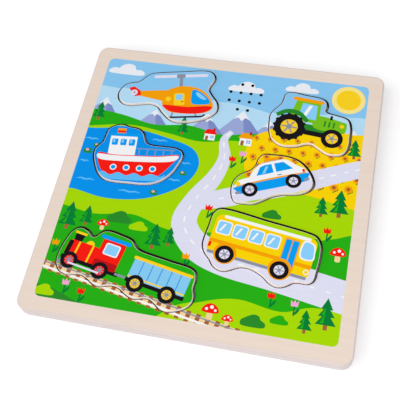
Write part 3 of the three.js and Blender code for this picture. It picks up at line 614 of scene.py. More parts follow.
def lake(pen):
    """Sandy shore, water, ripples and water lilies."""
    pen.curve("sand", *grown(list(SHORE), 5))
    pen.curve("water", *SHORE)
    for x, y, width in RIPPLES:
        half = width / 2
        pen.at(x, y).band(
            "ripple", (-half, 0, 0.5), (-half / 2, 0.9, 1.5), (0, 0, 1.7), (half / 2, 0.9, 1.5),
            (half, 0, 0.5),
        )
    for x, y, size in LILIES:
        pad = pen.at(x, y)
        pad.oval("dark_green", 0, 0, size * 1.25, size * 0.75)
        pad.patch("water", (0, 0), (size * 1.4, size * 0.5), (size * 1.4, -size * 0.1))
        pad.oval("pink", -size * 0.3, size * 0.25, size * 0.42, size * 0.34)


def railway(pen):
    """Bed, sleepers and two rails under the train."""
    track = pen.at(*VEHICLES["train"][1:])
    track.box("sand", TRACK_X, BED_Y, TRACK_LENGTH, 8)
    for sleeper in range(SLEEPERS):
        track.box("brown", FIRST_SLEEPER + SLEEPER_STEP * sleeper, BED_Y, 4, 10.5)
    track.box("grey", TRACK_X, -8, TRACK_LENGTH, 1.2)
    track.box("white", TRACK_X, -12.6, TRACK_LENGTH, 2)


def ground(pen):
    """Sky, mountains, hills, field and lake."""
    pen.curve(
        "haze", (-170, 92), (-110, 98), (-60, 88), (0, 97), (60, 88), (110, 96), (170, 90), (170, 20),
        (-170, 20),
    )
    pen.oval("glow", 117, 117, 16.5)
    pen.oval("sun", 117, 117, 12)
    cloud(pen, -114, 121, 1.15)
    cloud(pen, 70, 123, 1.0)
    cloud(pen, 14, 116, 1.1)
    for x, width, height in PEAKS:
        peak(pen, x, PEAK_FOOT, width, height)
    pen.curve(
        "hill", (-190, 66), (-140, 70), (-105, 67), (-70, 60), (-35, 64), (0, 58), (35, 64), (75, 58),
        (115, 66), (190, 62), (190, -190), (-190, -190),
    )
    pen.curve(
        "meadow", (-190, 40), (-140, 48), (-95, 56), (-55, 52), (-20, 47), (15, 53), (45, 48), (90, 40),
        (190, 30), (190, -190), (-190, -190),
    )
    pen.curve(
        "field", (26, 34), (31, 60), (52, 72), (80, 77), (108, 74), (150, 79), (180, 70), (180, -5),
        (90, 4), (40, 8),
    )
    sunflowers(pen)
    lake(pen)
    pen.curve(
        "hill", (-190, -44), (-140, -42), (-104, -47), (-66, -42), (-30, -52), (10, -50), (60, -48),
        (110, -40), (190, -28), (190, -190), (-190, -190),
    )
    pen.curve(
        "meadow", (-60, -190), (-20, -134), (14, -116), (46, -108), (84, -113), (118, -104),
        (190, -112), (190, -190),
    )
    pen.curve("dark_green", (-190, -122), (-136, -124), (-104, -132), (-74, -150), (-190, -190))


def landscape(pen):
    """The whole picture that the board and the pieces share."""
    ground(pen)
    pen.band("road", *MAIN_ROAD)
    pen.band("road", *SIDE_ROAD)
    pen.dashes("white", 1.5, 7, 6, *MAIN_ROAD)
    pen.dashes("white", 1.4, 6, 6, *SIDE_ROAD[1:])
    railway(pen)
    house(pen, -12, 50, 0.75, "red")
    house(pen, 24, 49, 0.85, "amber")
    for x, y, size in PINES:
        pine(pen, x, y, size)
    for x, y, size, paint in BUSHES:
        bush(pen, x, y, size, paint)
    for x, y, size in MUSHROOMS:
        mushroom(pen, x, y, size)
    for x, y, paint in TULIPS:
        tulip(pen, x, y, paint)


def wheel(pen, x, y, radius, paint, spokes):
    """A tyre round a painted disc with grey spokes and a cap."""
    pen.oval("black", x, y, radius)
    pen.oval(paint, x, y, radius * 0.56)
    for spoke in range(spokes):
        blade = pen.at(x, y, 360 / spokes * spoke)
        blade.box("grey", radius * 0.36, 0, radius * 0.3, radius * 0.11)
    pen.oval("grey", x, y, radius * 0.2)


def helicopter(pen):
    pen.line("grey", 1.6, (-14, -12), (-16, -18))
    pen.line("grey", 1.6, (8, -12), (9, -18))
    pen.band("black", (-25, -17, 1.6), (-21, -18.6, 2), (0, -18.6, 2), (14, -18.4, 2), (18, -16, 1.6))
    pen.patch("amber", (-18, 15), (-20, 0), (-55, 10.6), (-55, 15))
    pen.patch("red", (-48, 9.5), (-54, 8.4), (-61, 19.5), (-55, 20.5), (-49, 15.5))
    pen.oval("hub", -55, 13.4, 3.4)
    pen.oval("grey", -55, 13.4, 1.1)
    pen.box("grey", -7, 25, 3.4, 14)
    pen.curve(
        "amber", (26, -8), (23, 4), (13, 15), (-3, 19.5), (-18, 16.5), (-25, 7), (-25, -4), (-17, -12),
        (2, -15), (18, -14),
    )
    pen.curve(
        "red", (25, -8.6), (20, -6), (0, -6.4), (-24, -3), (-22, -7.5), (-15, -12), (2, -14.8),
        (17, -13.8),
    )
    pen.curve("glass", (22.6, -3), (20.6, 4), (12, 12.4), (5.4, 14.6), (4, 8), (4.4, -2), (12, -4))
    pen.curve("pale_glass", (19.4, 2.6), (12.4, 10), (9, 11.4), (9.4, 7.6), (15, 2.4))
    pen.box("sun", -8.5, 3.4, 11, 15, 2)
    pen.box("pale_glass", -8.5, 6, 7, 7, 1.6)
    pen.box("black", -5.2, 0.2, 2.2, 0.9)
    pen.oval("sun", -19.6, 4, 3)
    pen.box("hub", -7.4, 32.4, 56, 3.6, 1.7)
    pen.box("grey", -7.4, 32.4, 9, 5, 1.6)


def tractor(pen):
    pen.box("black", 24, -1.5, 46, 8, 1.5)
    pen.box("dark_green", 26, 3.5, 50, 7, 1.5)
    pen.curve("green", (24, 4), (50, 3.4), (54, 6), (54, 14), (50, 16.6), (24, 18.4))
    pen.box("sun", 49.6, 11.6, 4, 4, 1.2)
    for slot in range(3):
        pen.box("dark_green", 33 + 4.4 * slot, 11, 1.8, 7, 0.8)
    pen.box("black", 38, 19, 2.4, 5)
    pen.patch("green", (-3, 9), (1, 34), (25, 33.4), (27, 9))
    pen.patch("pale_glass", (6, 13), (7, 30.6), (22, 30.2), (23.6, 13))
    pen.patch("white", (9.5, 15), (13, 15), (17.5, 29), (14, 29))
    pen.box("amber", 12, 34.6, 31, 4, 1.8)
    pen.band("dark_green", (-15, 11, 4.4), (-6, 17.6, 4.8), (6, 17.6, 4.8), (16, 9.6, 4.4))
    lugs = 14
    for lug in range(lugs):
        tread = pen.at(0, 0, 360 / lugs * lug)
        tread.box("black", 14.8, 0, 2.6, 3)
    wheel(pen, 0, 0, 15, "sun", 6)
    wheel(pen, 43, -4.3, 10.6, "sun", 5)


def boat(pen):
    pen.box("amber", -18, 37, 8.6, 7)
    pen.box("red", -18, 36.6, 8.6, 2.4)
    pen.box("white", -14.5, 20.5, 27, 22, 1)
    pen.box("glass", -14.5, 33, 34, 3.6, 1.6)
    for column in range(3):
        pen.box("glass", -23 + 8.6 * column, 24.4, 6.2, 7.4, 1.2)
        pen.box("pale_glass", -24 + 8.6 * column, 25.6, 2, 4, 0.6)
    pen.box("grey", 19, 17.8, 38, 1.1)
    for post in range(5):
        pen.box("grey", 3 + 8 * post, 14.6, 1.1, 7)
    pen.curve(
        "red", (-38, 10.5), (-20, 9.6), (20, 10.4), (42.4, 12.8), (36, 1), (26, -11), (14, -15.6),
        (-20, -15.6), (-31, -9),
    )
    pen.curve(
        "white", (-37.4, 9.8), (-20, 8.8), (20, 9.6), (41.4, 12), (38.4, 6), (20, 3.4), (-20, 2.6),
        (-35.4, 4),
    )
    for port in range(4):
        pen.oval("white", -20 + 13 * port, -4.4, 3.4)
        pen.oval("glass", -20 + 13 * port, -4.4, 2.3)
    pen.curve(
        "ripple", (-36, -12), (-29, -9.6), (-22, -13), (-14, -10), (-6, -13), (2, -10), (10, -13),
        (18, -10), (27, -12.4), (32, -10), (28, -16.5), (12, -18), (-20, -18), (-32, -16.5),
    )


def car(pen):
    pen.box("amber", 6, 27.4, 15, 3.4, 1.4)
    pen.box("grey", 6, 25.4, 18, 1.2)
    pen.curve(
        "white", (-18, 11), (-10, 22), (-4, 25), (8, 25.4), (19, 24.6), (27, 17), (32, 10), (8, 8),
    )
    pen.patch("glass", (-12, 12.4), (-6.4, 21.4), (-2, 22.8), (5, 22.8), (5, 12.4))
    pen.patch("glass", (7.6, 12.4), (7.6, 22.8), (16.6, 22.4), (24.6, 12.4))
    pen.patch("pale_glass", (-6, 14), (-1, 21), (1.6, 21), (-3, 14))
    pen.curve(
        "white", (-33.5, 2), (-32, 10), (-24, 12.6), (0, 13), (30, 13), (34.5, 9), (35.5, 1), (30, -3),
        (-28, -3),
    )
    pen.curve("glass", (-33.6, 1.6), (-33, 5.4), (0, 6.4), (34.6, 6), (35.4, 1), (30, -3), (-28, -3))
    pen.band("amber", (-33, 6, 1), (0, 7, 1.8), (34.6, 6.6, 1.2))
    pen.box("grey", 10, 9.6, 4.4, 1.2, 0.5)
    pen.oval("sun", -30.4, 8.6, 2.2)
    pen.box("red", 33, 9, 2.4, 3.6, 1)
    pen.box("grey", -32.6, -1, 5, 2.6, 1.2)
    pen.box("grey", 33.4, -1, 5, 2.6, 1.2)
    wheel(pen, -21, 0, 7.6, "hub", 5)
    wheel(pen, 21, 0, 7.6, "hub", 5)


def bus(pen):
    pen.box("field", 4, 18, 95, 40, 6)
    pen.box("white", 4, 36.4, 82, 3.2, 1.5)
    pen.box("amber", 4, 10.4, 95, 3.6)
    pen.box("grey", 4, -1, 92, 3, 1.4)
    for window in range(4):
        pane = pen.at(-34 + 15.4 * window, 25)
        pane.box("white", 0, 0, 14, 14, 2.6)
        pane.box("pale_glass", 0, 0, 11.8, 11.8, 2)
        pane.patch("white", (-4, -4), (-2, -4), (1.4, 4), (-0.6, 4))
    pen.box("amber", 29.5, 17, 14, 32, 2)
    pen.box("glass", 26.2, 17.4, 5.6, 28, 1.2)
    pen.box("glass", 32.8, 17.4, 5.6, 28, 1.2)
    pen.curve("white", (39, 17.4), (51, 17), (51.4, 25), (49, 33), (39, 33.4))
    pen.curve("pale_glass", (40.2, 18.6), (49.8, 18.2), (50.2, 25), (48, 31.8), (40.2, 32.2))
    pen.oval("white", 48.4, 5, 2.6)
    pen.oval("sun", 48.4, 5, 1.7)
    pen.box("red", -41.6, 6, 2.6, 5, 1)
    for place in (-25.5, 25.5):
        pen.oval("amber", place, 1, 10.6)
        wheel(pen, place, 0, 8.6, "hub", 6)


def train(pen):
    pen.box("black", -29, 1.6, 58, 4.4, 1)
    pen.box("grey", 3.6, 2, 14, 2.2)
    pen.patch("grey", (-56, 3), (-59, -5.6), (-54, -5.6), (-50, 3))
    pen.patch("black", (-53, 18), (-54.6, 28.6), (-44.4, 28.6), (-46, 18))
    pen.box("sun", -49.5, 28, 12, 2.4, 1)
    pen.oval("sun", -36.6, 19.6, 4.2, 4.6)
    pen.box("red", -41, 11.6, 32, 17, 4)
    pen.box("black", -54.6, 11.6, 4.4, 15, 1.4)
    pen.box("sun", -46.6, 11.6, 1.8, 17)
    pen.box("sun", -33, 11.6, 1.8, 17)
    pen.box("red", -15.5, 16.6, 23, 28, 1.6)
    pen.box("dark_red", -15.5, 6.4, 23, 7, 1.6)
    pen.box("white", -15.5, 22, 14.6, 12, 2)
    pen.box("pale_glass", -15.5, 22, 12.2, 9.6, 1.4)
    pen.box("glass", -15.5, 32.4, 30, 3.8, 1.8)
    pen.box("black", 36, 1.4, 57, 4, 1)
    pen.box("wagon", 36, 13.6, 55, 21, 2)
    for plank in range(5):
        pen.box("wagon_line", 17.6 + 9.2 * plank, 13.6, 1, 19)
    pen.box("sun", 36, 23.6, 58, 3, 1.3)
    pen.box("sun", 36, 5, 55, 1.4)
    for place, paint in ((-48.8, "red"), (-17.8, "red"), (17.8, "sun"), (48.8, "sun")):
        wheel(pen, place, 0, 8.2, paint, 8)
    pen.line("hub", 1.8, (-48.8, -2.6), (-17.8, -2.6))


# Each vehicle's drawing with its place and turn on the board
VEHICLES = {
    "helicopter": (helicopter, -42, 90, 10),
    "tractor": (tractor, 63.5, 75.5, -5),
    "boat": (boat, -78, 10, 5),
    "car": (car, 57, 7.75, 21.7),
    "bus": (bus, 51.75, -72.5, -7.9),
    "train": (train, -64.5, -107, -10.6),
}


# Solids with printed tops


def flat_triangles(rings, shapes):
    """Cuts the first ring, less the other rings, along every shape.

    Gives the points, the triangles, the top shape of each triangle or None, and the input points
    that each output point stands for."""
    points = []
    loops = []
    for ring in rings + [ring for _, ring in shapes]:
        loops.append(list(range(len(points), len(points) + len(ring))))
        points.extend(Vector(point) for point in ring)
    flat, _, faces, sources, _, owners = delaunay_2d_cdt(
        points, [], loops, HULL_TRIANGLES, MERGE, True
    )
    triangles = []
    for face, owner in zip(faces, owners):
        inside = 0 in owner and not any(0 < index < len(rings) for index in owner)
        if inside:
            top = max(owner) - len(rings)
            triangles.append((face, shapes[top][0] if top >= 0 else None))
    return flat, triangles, sources


def boundary_rings(bm):
    """Rings of edges with one face, each with the face on its left."""
    following = {}
    for edge in bm.edges:
        if len(edge.link_faces) == 1:
            corner = edge.link_loops[0]
            following[corner.vert] = corner.link_loop_next.vert
    rings = []
    while following:
        start, vert = following.popitem()
        ring = [start]
        while vert is not start:
            ring.append(vert)
            vert = following.pop(vert)
        rings.append(ring)
    return rings


def drop_wall(bm, ring, profile, top, slot):
    """Hangs a wall from a ring along (outward, down) steps, and gives its last ring."""
    outward = []
    for before, here, after in zip(ring[-1:] + ring[:-1], ring, ring[1:] + ring[:1]):
        along = (after.co - before.co).normalized()
        outward.append(Vector((along.y, -along.x, 0)))
    places = [vert.co.copy() for vert in ring]
    upper = ring
    for out, down in profile:
        lower = []
        for place, way in zip(places, outward):
            spot = place + way * out
            spot.z = top - down
            lower.append(bm.verts.new(spot))
        for i, vert in enumerate(upper):
            j = (i + 1) % len(upper)
            face = bm.faces.new((vert, lower[i], lower[j], upper[j]))
            face.material_index = slot
            face.smooth = True
        upper = lower
    return upper


def close_below(bm, rings, slot):
    """Fills the lowest rings with a level face, the widest ring first."""
    rings = sorted(rings, key=lambda ring: -reach([vert.co.xy for vert in ring]))
    flat_rings = [[(vert.co.x / MM, vert.co.y / MM) for vert in ring] for ring in rings]
    verts = [vert for ring in rings for vert in ring]
    _, triangles, sources = flat_triangles(flat_rings, [])
    for face, _ in triangles:
        corners = [verts[sources[index][0]] for index in reversed(face)]
        bm.faces.new(corners).material_index = slot


def crease(bm, rings):
    """Keeps level faces flat-shaded against their rounded edges."""
    for ring in rings:
        for one, other in zip(ring, ring[1:] + ring[:1]):
            bm.edges.get((one, other)).smooth = False


def rounding(radius, steps):
    """Steps of a quarter round as (outward, down)."""
    angles = [math.pi / 2 * step / steps for step in range(1, steps + 1)]
    return [(radius * math.sin(angle), radius * (1 - math.cos(angle))) for angle in angles]


def inked_cap(rings, shapes, top):
    """The printed level face of a solid, with its ink as a colour attribute."""
    inks = bpy.context.scene.puzzle_inks
    bm = bmesh.new()
    layer = bm.loops.layers.float_color.new("ink")
    flat, triangles, _ = flat_triangles(rings, shapes)
    verts = {}
    for face, colour in triangles:
        for index in face:
            if index not in verts:
                verts[index] = bm.verts.new((flat[index].x * MM, flat[index].y * MM, top))
        patch = bm.faces.new([verts[index] for index in face])
        patch.material_index = INK_SLOT if colour else WOOD_SLOT
        if colour:
            for corner in patch.loops:
                corner[layer] = linear(getattr(inks, colour))
    bm.normal_update()
    if sum(face.normal.z for face in bm.faces) < 0:
        bmesh.ops.reverse_faces(bm, faces=bm.faces)
    rim = [vert for vert in bm.verts if vert.is_boundary]
    bmesh.ops.remove_doubles(bm, verts=rim, dist=RIM_WELD)
    return bm


def new_piece(name, bm, *materials):
    """Turns a bmesh into an object."""
    mesh = bpy.data.meshes.new(name)
    bm.to_mesh(mesh)
    bm.free()
    return new_object(name, mesh, *materials)


def new_object(name, data, *materials):
    """Puts a mesh into the scene at the origin."""
    piece = bpy.data.objects.new(name, data)
    for material in materials:
        data.materials.append(material)
    bpy.context.scene.collection.objects.link(piece)
    return piece


def stand_for(piece, slot, body, *nodes):
    """Puts a finished piece on its body in place of CAD nodes."""
    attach(piece, body)
    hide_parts(*nodes)


def dressed_copy(node, name, slot, body, material):
    """A merged copy of a CAD node whose round faces are shaded smooth."""
    bm = welded(node)
    for face in bm.faces:
        face.smooth = True
    for edge in bm.edges:
        level = {abs(face.normal.z) > LEVEL_FACE for face in edge.link_faces}
        edge.smooth = len(level) == 1 and edge.calc_face_angle(0.0) < SMOOTH_ANGLE
    piece = new_piece(name, bm, material)
    stand_for(piece, slot, body, node)


def board_outlines(sizes):
    """The upper layer's outer ring, then its recesses and speaker holes, at its printed level."""
    half = BOARD_HALF / MM
    edge = sizes.board_edge / MM
    corner = sizes.board_corner / MM - edge
    outer = round_box(half - edge, half - edge, corner, BOARD_CORNER_STEPS)
    recesses = []
    holes = []
    for ring in level_rings("face_board", BOARD_TOP):
        if reach(ring) < LARGEST_HOLE:
            radius = reach(ring) / 2 + sizes.hole_lip / MM
            holes.append(oval_ring(*middle(ring), radius, radius, HOLE_FACETS))
        elif reach(ring) < half:
            recesses.append(grown(spline(ring, sizes.outline_steps), sizes.recess_lip / MM))
    return [outer] + recesses + holes


def board_wall(width, sizes):
    """Profile and material slot of the wall below one of the upper layer's rings."""
    depth = BOARD_TOP - BOARD_SEAM
    if width > BOARD_HALF:
        # The outer wall and its rounding get the side colour, which is partly painted shade
        edge = sizes.board_edge
        seam = sizes.seam_edge
        straight = [(edge, depth - seam), (edge - seam, depth)]
        return rounding(edge, sizes.edge_steps) + straight, EDGE_AND_SHADE_SLOT
    # Recess walls and their rounded rims get the painted shade colour of the gaps
    if width > LARGEST_HOLE * MM:
        return rounding(sizes.recess_lip, LIP_STEPS) + [(sizes.recess_lip, depth)], RECESS_SHADE_SLOT
    # Speaker hole walls get the painted shade colour
    return rounding(sizes.hole_lip, LIP_STEPS) + [(sizes.hole_lip, depth)], HOLE_SHADE_SLOT


def face_board(sizes, materials):
    """Upper layer: print with a bare border, six recesses and the speaker's holes."""
    half = (BOARD_HALF - sizes.print_margin) / MM
    shapes = [("sky", round_box(half, half, sizes.print_corner / MM, PRINT_CORNER_STEPS))]
    landscape(Pen(shapes))
    bm = inked_cap(board_outlines(sizes), shapes, BOARD_TOP)
    keep_border_bare(bm, sizes)
    rings = boundary_rings(bm)
    crease(bm, rings)
    lowest = []
    for ring in rings:
        profile, slot = board_wall(reach([vert.co.xy for vert in ring]), sizes)
        lowest.append(drop_wall(bm, ring, profile, BOARD_TOP, slot))
    close_below(bm, lowest, WOOD_SLOT)
    crease(bm, lowest)
    piece = new_piece("printed_board", bm, *materials)
    stand_for(piece, "birch_face", "board", "face_board")


def keep_border_bare(bm, sizes):
    """Gives the wood back to what lies outside the print's rounded window."""
    half = BOARD_HALF - sizes.print_margin
    corner = sizes.print_corner
    for face in bm.faces:
        spot = face.calc_center_median()
        past_x = abs(spot.x) - (half - corner)
        past_y = abs(spot.y) - (half - corner)
        outside = max(abs(spot.x), abs(spot.y)) > half
        if past_x > 0 and past_y > 0:
            outside = math.hypot(past_x, past_y) > corner
        if outside:
            face.material_index = WOOD_SLOT


def lift_piece(name, sizes, materials):
    """One vehicle: printed top, sawn sides, rounded edges."""
    node = f"piece_{name}"
    low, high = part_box(node)
    edge = sizes.piece_edge
    rings = level_rings(node, shoulder(node))
    outline = spline(max(rings, key=reach), sizes.outline_steps)
    side = 2 * BOARD_HALF / MM
    shapes = []
    Pen(shapes).box("sky", 0, 0, side, side)
    landscape(Pen(shapes))
    draw, x, y, turn = VEHICLES[name]
    draw(Pen(shapes, x, y, turn))
    bm = inked_cap([grown(outline, -edge / MM)], shapes, high.z)
    top_rings = boundary_rings(bm)
    crease(bm, top_rings)
    depth = high.z - low.z
    upper = rounding(edge, sizes.edge_steps)
    lower = [(out, depth - down) for out, down in reversed([(0, 0)] + upper[:-1])]
    profile = upper + [(edge, depth - edge)] + lower
    lowest = [drop_wall(bm, ring, profile, high.z, WOOD_SLOT) for ring in top_rings]
    close_below(bm, lowest, WOOD_SLOT)
    crease(bm, lowest)
    piece = new_piece(f"vehicle_{name}", bm, *materials)
    stand_for(piece, f"print_{name}", node, node)


# Materials


# Useful middle range of a noise, fibres per metre along each axis, and where their noise starts
NOISE_LOW = 0.3
NOISE_HIGH = 0.7
FIBRES = (45, 1500, 1500)
FIBRE_SHIFT = 3.7

# How far the gloss of a plain finish goes to either side
GLOSS_VARY = 0.15


class Finish:
    """A material with short calls for the nodes that its detail needs."""

    def __init__(self, name, roughness, metallic=0.0, specular=0.5):
        self.material = bpy.data.materials.new(name)
        self.material.use_nodes = True
        self.tree = self.material.node_tree
        self.shader = self.tree.nodes["Principled BSDF"]
        self.shader.inputs["Roughness"].default_value = roughness
        self.shader.inputs["Metallic"].default_value = metallic
        self.shader.inputs["Specular IOR Level"].default_value = specular

    def add(self, kind, **values):
        """A node with its settings."""
        node = self.tree.nodes.new(kind)
        for key, value in values.items():
            setattr(node, key, value)
        return node

    def link(self, source, target):
        self.tree.links.new(source, target)

    def noise(self, stretch, detail=4.0, shift=0.0):
        """Noise whose grains per metre are given along each axis."""
        place = self.add("ShaderNodeTexCoord")
        mapping = self.add("ShaderNodeMapping")
        mapping.inputs["Scale"].default_value = stretch
        mapping.inputs["Location"].default_value = (shift, shift, shift)
        noise = self.add("ShaderNodeTexNoise")
        noise.inputs["Scale"].default_value = 1.0
        noise.inputs["Detail"].default_value = detail
        self.link(place.outputs["Object"], mapping.inputs["Vector"])
        self.link(mapping.outputs["Vector"], noise.inputs["Vector"])
        return noise.outputs["Fac"]

    def ramp(self, factor, low, high, start=0.35, end=0.65):
        """A colour that runs from one end to the other as the factor grows."""
        ramp = self.add("ShaderNodeValToRGB")
        first, last = ramp.color_ramp.elements
        first.position = start
        first.color = low
        last.position = end
        last.color = high
        self.link(factor, ramp.inputs["Fac"])
        return ramp.outputs["Color"]

    def mix(self, one, other, share=0.5, blend="MIX"):
        """Two colours laid over each other."""
        mix = self.add("ShaderNodeMix", data_type="RGBA", blend_type=blend)
        mix.inputs["Factor"].default_value = share
        self.link(one, mix.inputs["A"])
        self.link(other, mix.inputs["B"])
        return mix.outputs["Result"]

    def spread(self, factor, low, high):
        """A number that follows the factor's useful middle range."""
        spread = self.add("ShaderNodeMapRange")
        spread.inputs["From Min"].default_value = NOISE_LOW
        spread.inputs["From Max"].default_value = NOISE_HIGH
        spread.inputs["To Min"].default_value = low
        spread.inputs["To Max"].default_value = high
        self.link(factor, spread.inputs["Value"])
        return spread.outputs["Result"]

    def paint(self, colour):
        self.link(colour, self.shader.inputs["Base Color"])

    def gloss(self, roughness):
        self.link(roughness, self.shader.inputs["Roughness"])

    def relief(self, height, depth, strength=0.4):
        """Bump of a given depth in metres."""
        bump = self.add("ShaderNodeBump")
        bump.inputs["Strength"].default_value = strength
        bump.inputs["Distance"].default_value = depth
        self.link(height, bump.inputs["Height"])
        self.link(bump.outputs["Normal"], self.shader.inputs["Normal"])


def wood(name, pale, grain, figure=(9, 240, 240), fibre=FIBRES, specular=0.35):
    """Birch with long soft figure and fine fibres along X."""
    finish = Finish(name, roughness=0.6, specular=specular)
    clouds = finish.noise(figure, detail=3.0)
    fibres = finish.noise(fibre, detail=4.0, shift=FIBRE_SHIFT)
    pale = linear(pale)
    grain = linear(grain)
    broad = finish.ramp(clouds, grain, pale, start=0.3, end=0.56)
    fine = finish.ramp(fibres, grain, pale, start=0.3, end=0.6)
    finish.paint(finish.mix(broad, fine, share=0.45))
    finish.gloss(finish.spread(fibres, low=0.68, high=0.5))
    finish.relief(fibres, depth=0.06 * MM)
    return finish.material


def print_ink():
    """Flat printing ink that lets a little of the grain through."""
    finish = Finish("print_ink", roughness=0.5, specular=0.05)
    colour = finish.add("ShaderNodeAttribute", attribute_type="GEOMETRY", attribute_name="ink")
    fibres = finish.noise(FIBRES, detail=4.0, shift=FIBRE_SHIFT)
    mottle = finish.noise((700, 700, 700), detail=3.0)
    white = grey_level(FULL_CHANNEL)
    through = finish.ramp(fibres, grey_level(251), white, start=0.3, end=0.55)
    uneven = finish.ramp(mottle, grey_level(253), white, start=0.3, end=0.6)
    shaded = finish.mix(colour.outputs["Color"], through, share=1.0, blend="MULTIPLY")
    finish.paint(finish.mix(shaded, uneven, share=1.0, blend="MULTIPLY"))
    finish.gloss(finish.spread(fibres, low=0.52, high=0.38))
    finish.relief(fibres, depth=0.03 * MM, strength=0.12)
    return finish.material


def plain(name, colour, roughness, grain, vary=0.12, metallic=0.0, depth=0.04 * MM):
    """Plastic or fibre with fine uneven colour, gloss and relief, and grains per metre."""
    finish = Finish(name, roughness, metallic)
    speck = finish.noise((grain, grain, grain), detail=5.0)
    *channels, full = linear([channel / FULL_CHANNEL for channel in colour])
    dark = (*[channel * (1 - vary) for channel in channels], full)
    light = (*[min(1, channel * (1 + vary)) for channel in channels], full)
    finish.paint(finish.ramp(speck, dark, light))
    dull = min(1, roughness * (1 + GLOSS_VARY))
    finish.gloss(finish.spread(speck, low=roughness * (1 - GLOSS_VARY), high=dull))
    finish.relief(speck, depth, strength=0.3)
    return finish.material


def metal(name, colour, roughness, grain, vary=0.1):
    """Bare or plated metal, grained like the plain finishes."""
    return plain(name, colour, roughness, grain, vary, metallic=1.0)


# Hidden hardware keeps its CAD shape: its finish with what that takes, and the nodes that wear it
HARDWARE = (
    (plain, "speaker_paper", (46, 42, 38), 0.9, 1600, ("speaker_cone",)),
    (plain, "speaker_felt", (64, 64, 66), 0.95, 2600, ("speaker_gasket",)),
    (metal, "speaker_steel", (178, 182, 190), 0.35, 700, ("speaker_frame",)),
    (plain, "magnet_ferrite", (74, 74, 80), 0.6, 1800, ("speaker_magnet",)),
    (metal, "zinc_screw", (190, 193, 200), 0.32, 1200,
     ("board_screw_1", "board_screw_2", "box_screw_1", "box_screw_2")),
    (metal, "spring_steel", (200, 203, 210), 0.28, 2000, 0.08,
     ("contact_spring_1", "contact_spring_2")),
    (metal, "contact_plate", (206, 184, 128), 0.34, 1500,
     ("bridge_contact", "plus_contact", "minus_contact")),
    (plain, "circuit_laminate", (44, 104, 60), 0.45, 500, ("circuit_board",)),
    (plain, "chip_epoxy", (30, 30, 32), 0.3, 900, ("sound_chip", "capacitor")),
    (plain, "battery_wrap", (58, 108, 156), 0.35, 400, ("battery_1", "battery_2")),
    (plain, "box_plastic", (42, 42, 46), 0.5, 3000, ("battery_box",)),
    (plain, "sensor_resin", (222, 186, 142), 0.25, 1200, [f"sensor_{name}" for name in VEHICLES]),
    (plain, "lead_plastic", (186, 52, 44), 0.45, 800,
     ["speaker_lead", "battery_lead"] + [f"sensor_lead_{name}" for name in VEHICLES]),
)


# Repeated hardware as Geometry Nodes


class NodeTree:
    """A Geometry Nodes tree with named size inputs."""

    def __init__(self, name, sizes):
        self.tree = bpy.data.node_groups.new(name, "GeometryNodeTree")
        self.tree.interface.new_socket("Geometry", in_out="INPUT", socket_type="NodeSocketGeometry")
        self.sizes = {}
        for label in sizes:
            socket = self.tree.interface.new_socket(label, in_out="INPUT", socket_type="NodeSocketFloat")
            self.sizes[label] = socket.identifier
        self.tree.interface.new_socket("Geometry", in_out="OUTPUT", socket_type="NodeSocketGeometry")
        self.start = self.tree.nodes.new("NodeGroupInput")
        self.end = self.tree.nodes.new("NodeGroupOutput")

    def add(self, kind, values=None, **settings):
        """A node whose inputs are set by value or linked from a socket."""
        node = self.tree.nodes.new(kind)
        for key, value in settings.items():
            setattr(node, key, value)
        for key, value in (values or {}).items():
            if isinstance(value, bpy.types.NodeSocket):
                self.tree.links.new(value, node.inputs[key])
            else:
                node.inputs[key].default_value = value
        return node

    def size(self, label):
        return self.start.outputs[label]

    def times(self, one, other):
        return self.add("ShaderNodeMath", {0: one, 1: other}, operation="MULTIPLY").outputs[0]

    def share(self, label, part):
        """A share of one of the sizes."""
        return self.times(self.size(label), part)

    def vector(self, x=0.0, y=0.0, z=0.0):
        return self.add("ShaderNodeCombineXYZ", {"X": x, "Y": y, "Z": z}).outputs[0]

    def moved(self, geometry, **offset):
        values = {"Geometry": geometry, "Translation": self.vector(**offset)}
        return self.add("GeometryNodeTransform", values).outputs["Geometry"]

    def close(self, geometry, material):
        """Repeats the shape on the points, and makes it a plain mesh in one material."""
        values = {"Points": self.start.outputs["Geometry"], "Instance": geometry}
        copies = self.add("GeometryNodeInstanceOnPoints", values)
        real = self.add("GeometryNodeRealizeInstances", {"Geometry": copies.outputs["Instances"]})
        values = {"Geometry": real.outputs["Geometry"], "Material": material}
        dressed = self.add("GeometryNodeSetMaterial", values)
        self.tree.links.new(dressed.outputs["Geometry"], self.end.inputs["Geometry"])


# Screws: facets, then shares of the head's width for the dome's flat and the cross, and of its
# height for the rim and the middle of the cross
HEAD_FACETS = 32
SHANK_FACETS = 20
DOME_FLAT = 0.3
CROSS_SPAN = 0.56
RIM_SHARE = 0.45
CROSS_MIDDLE = -0.95


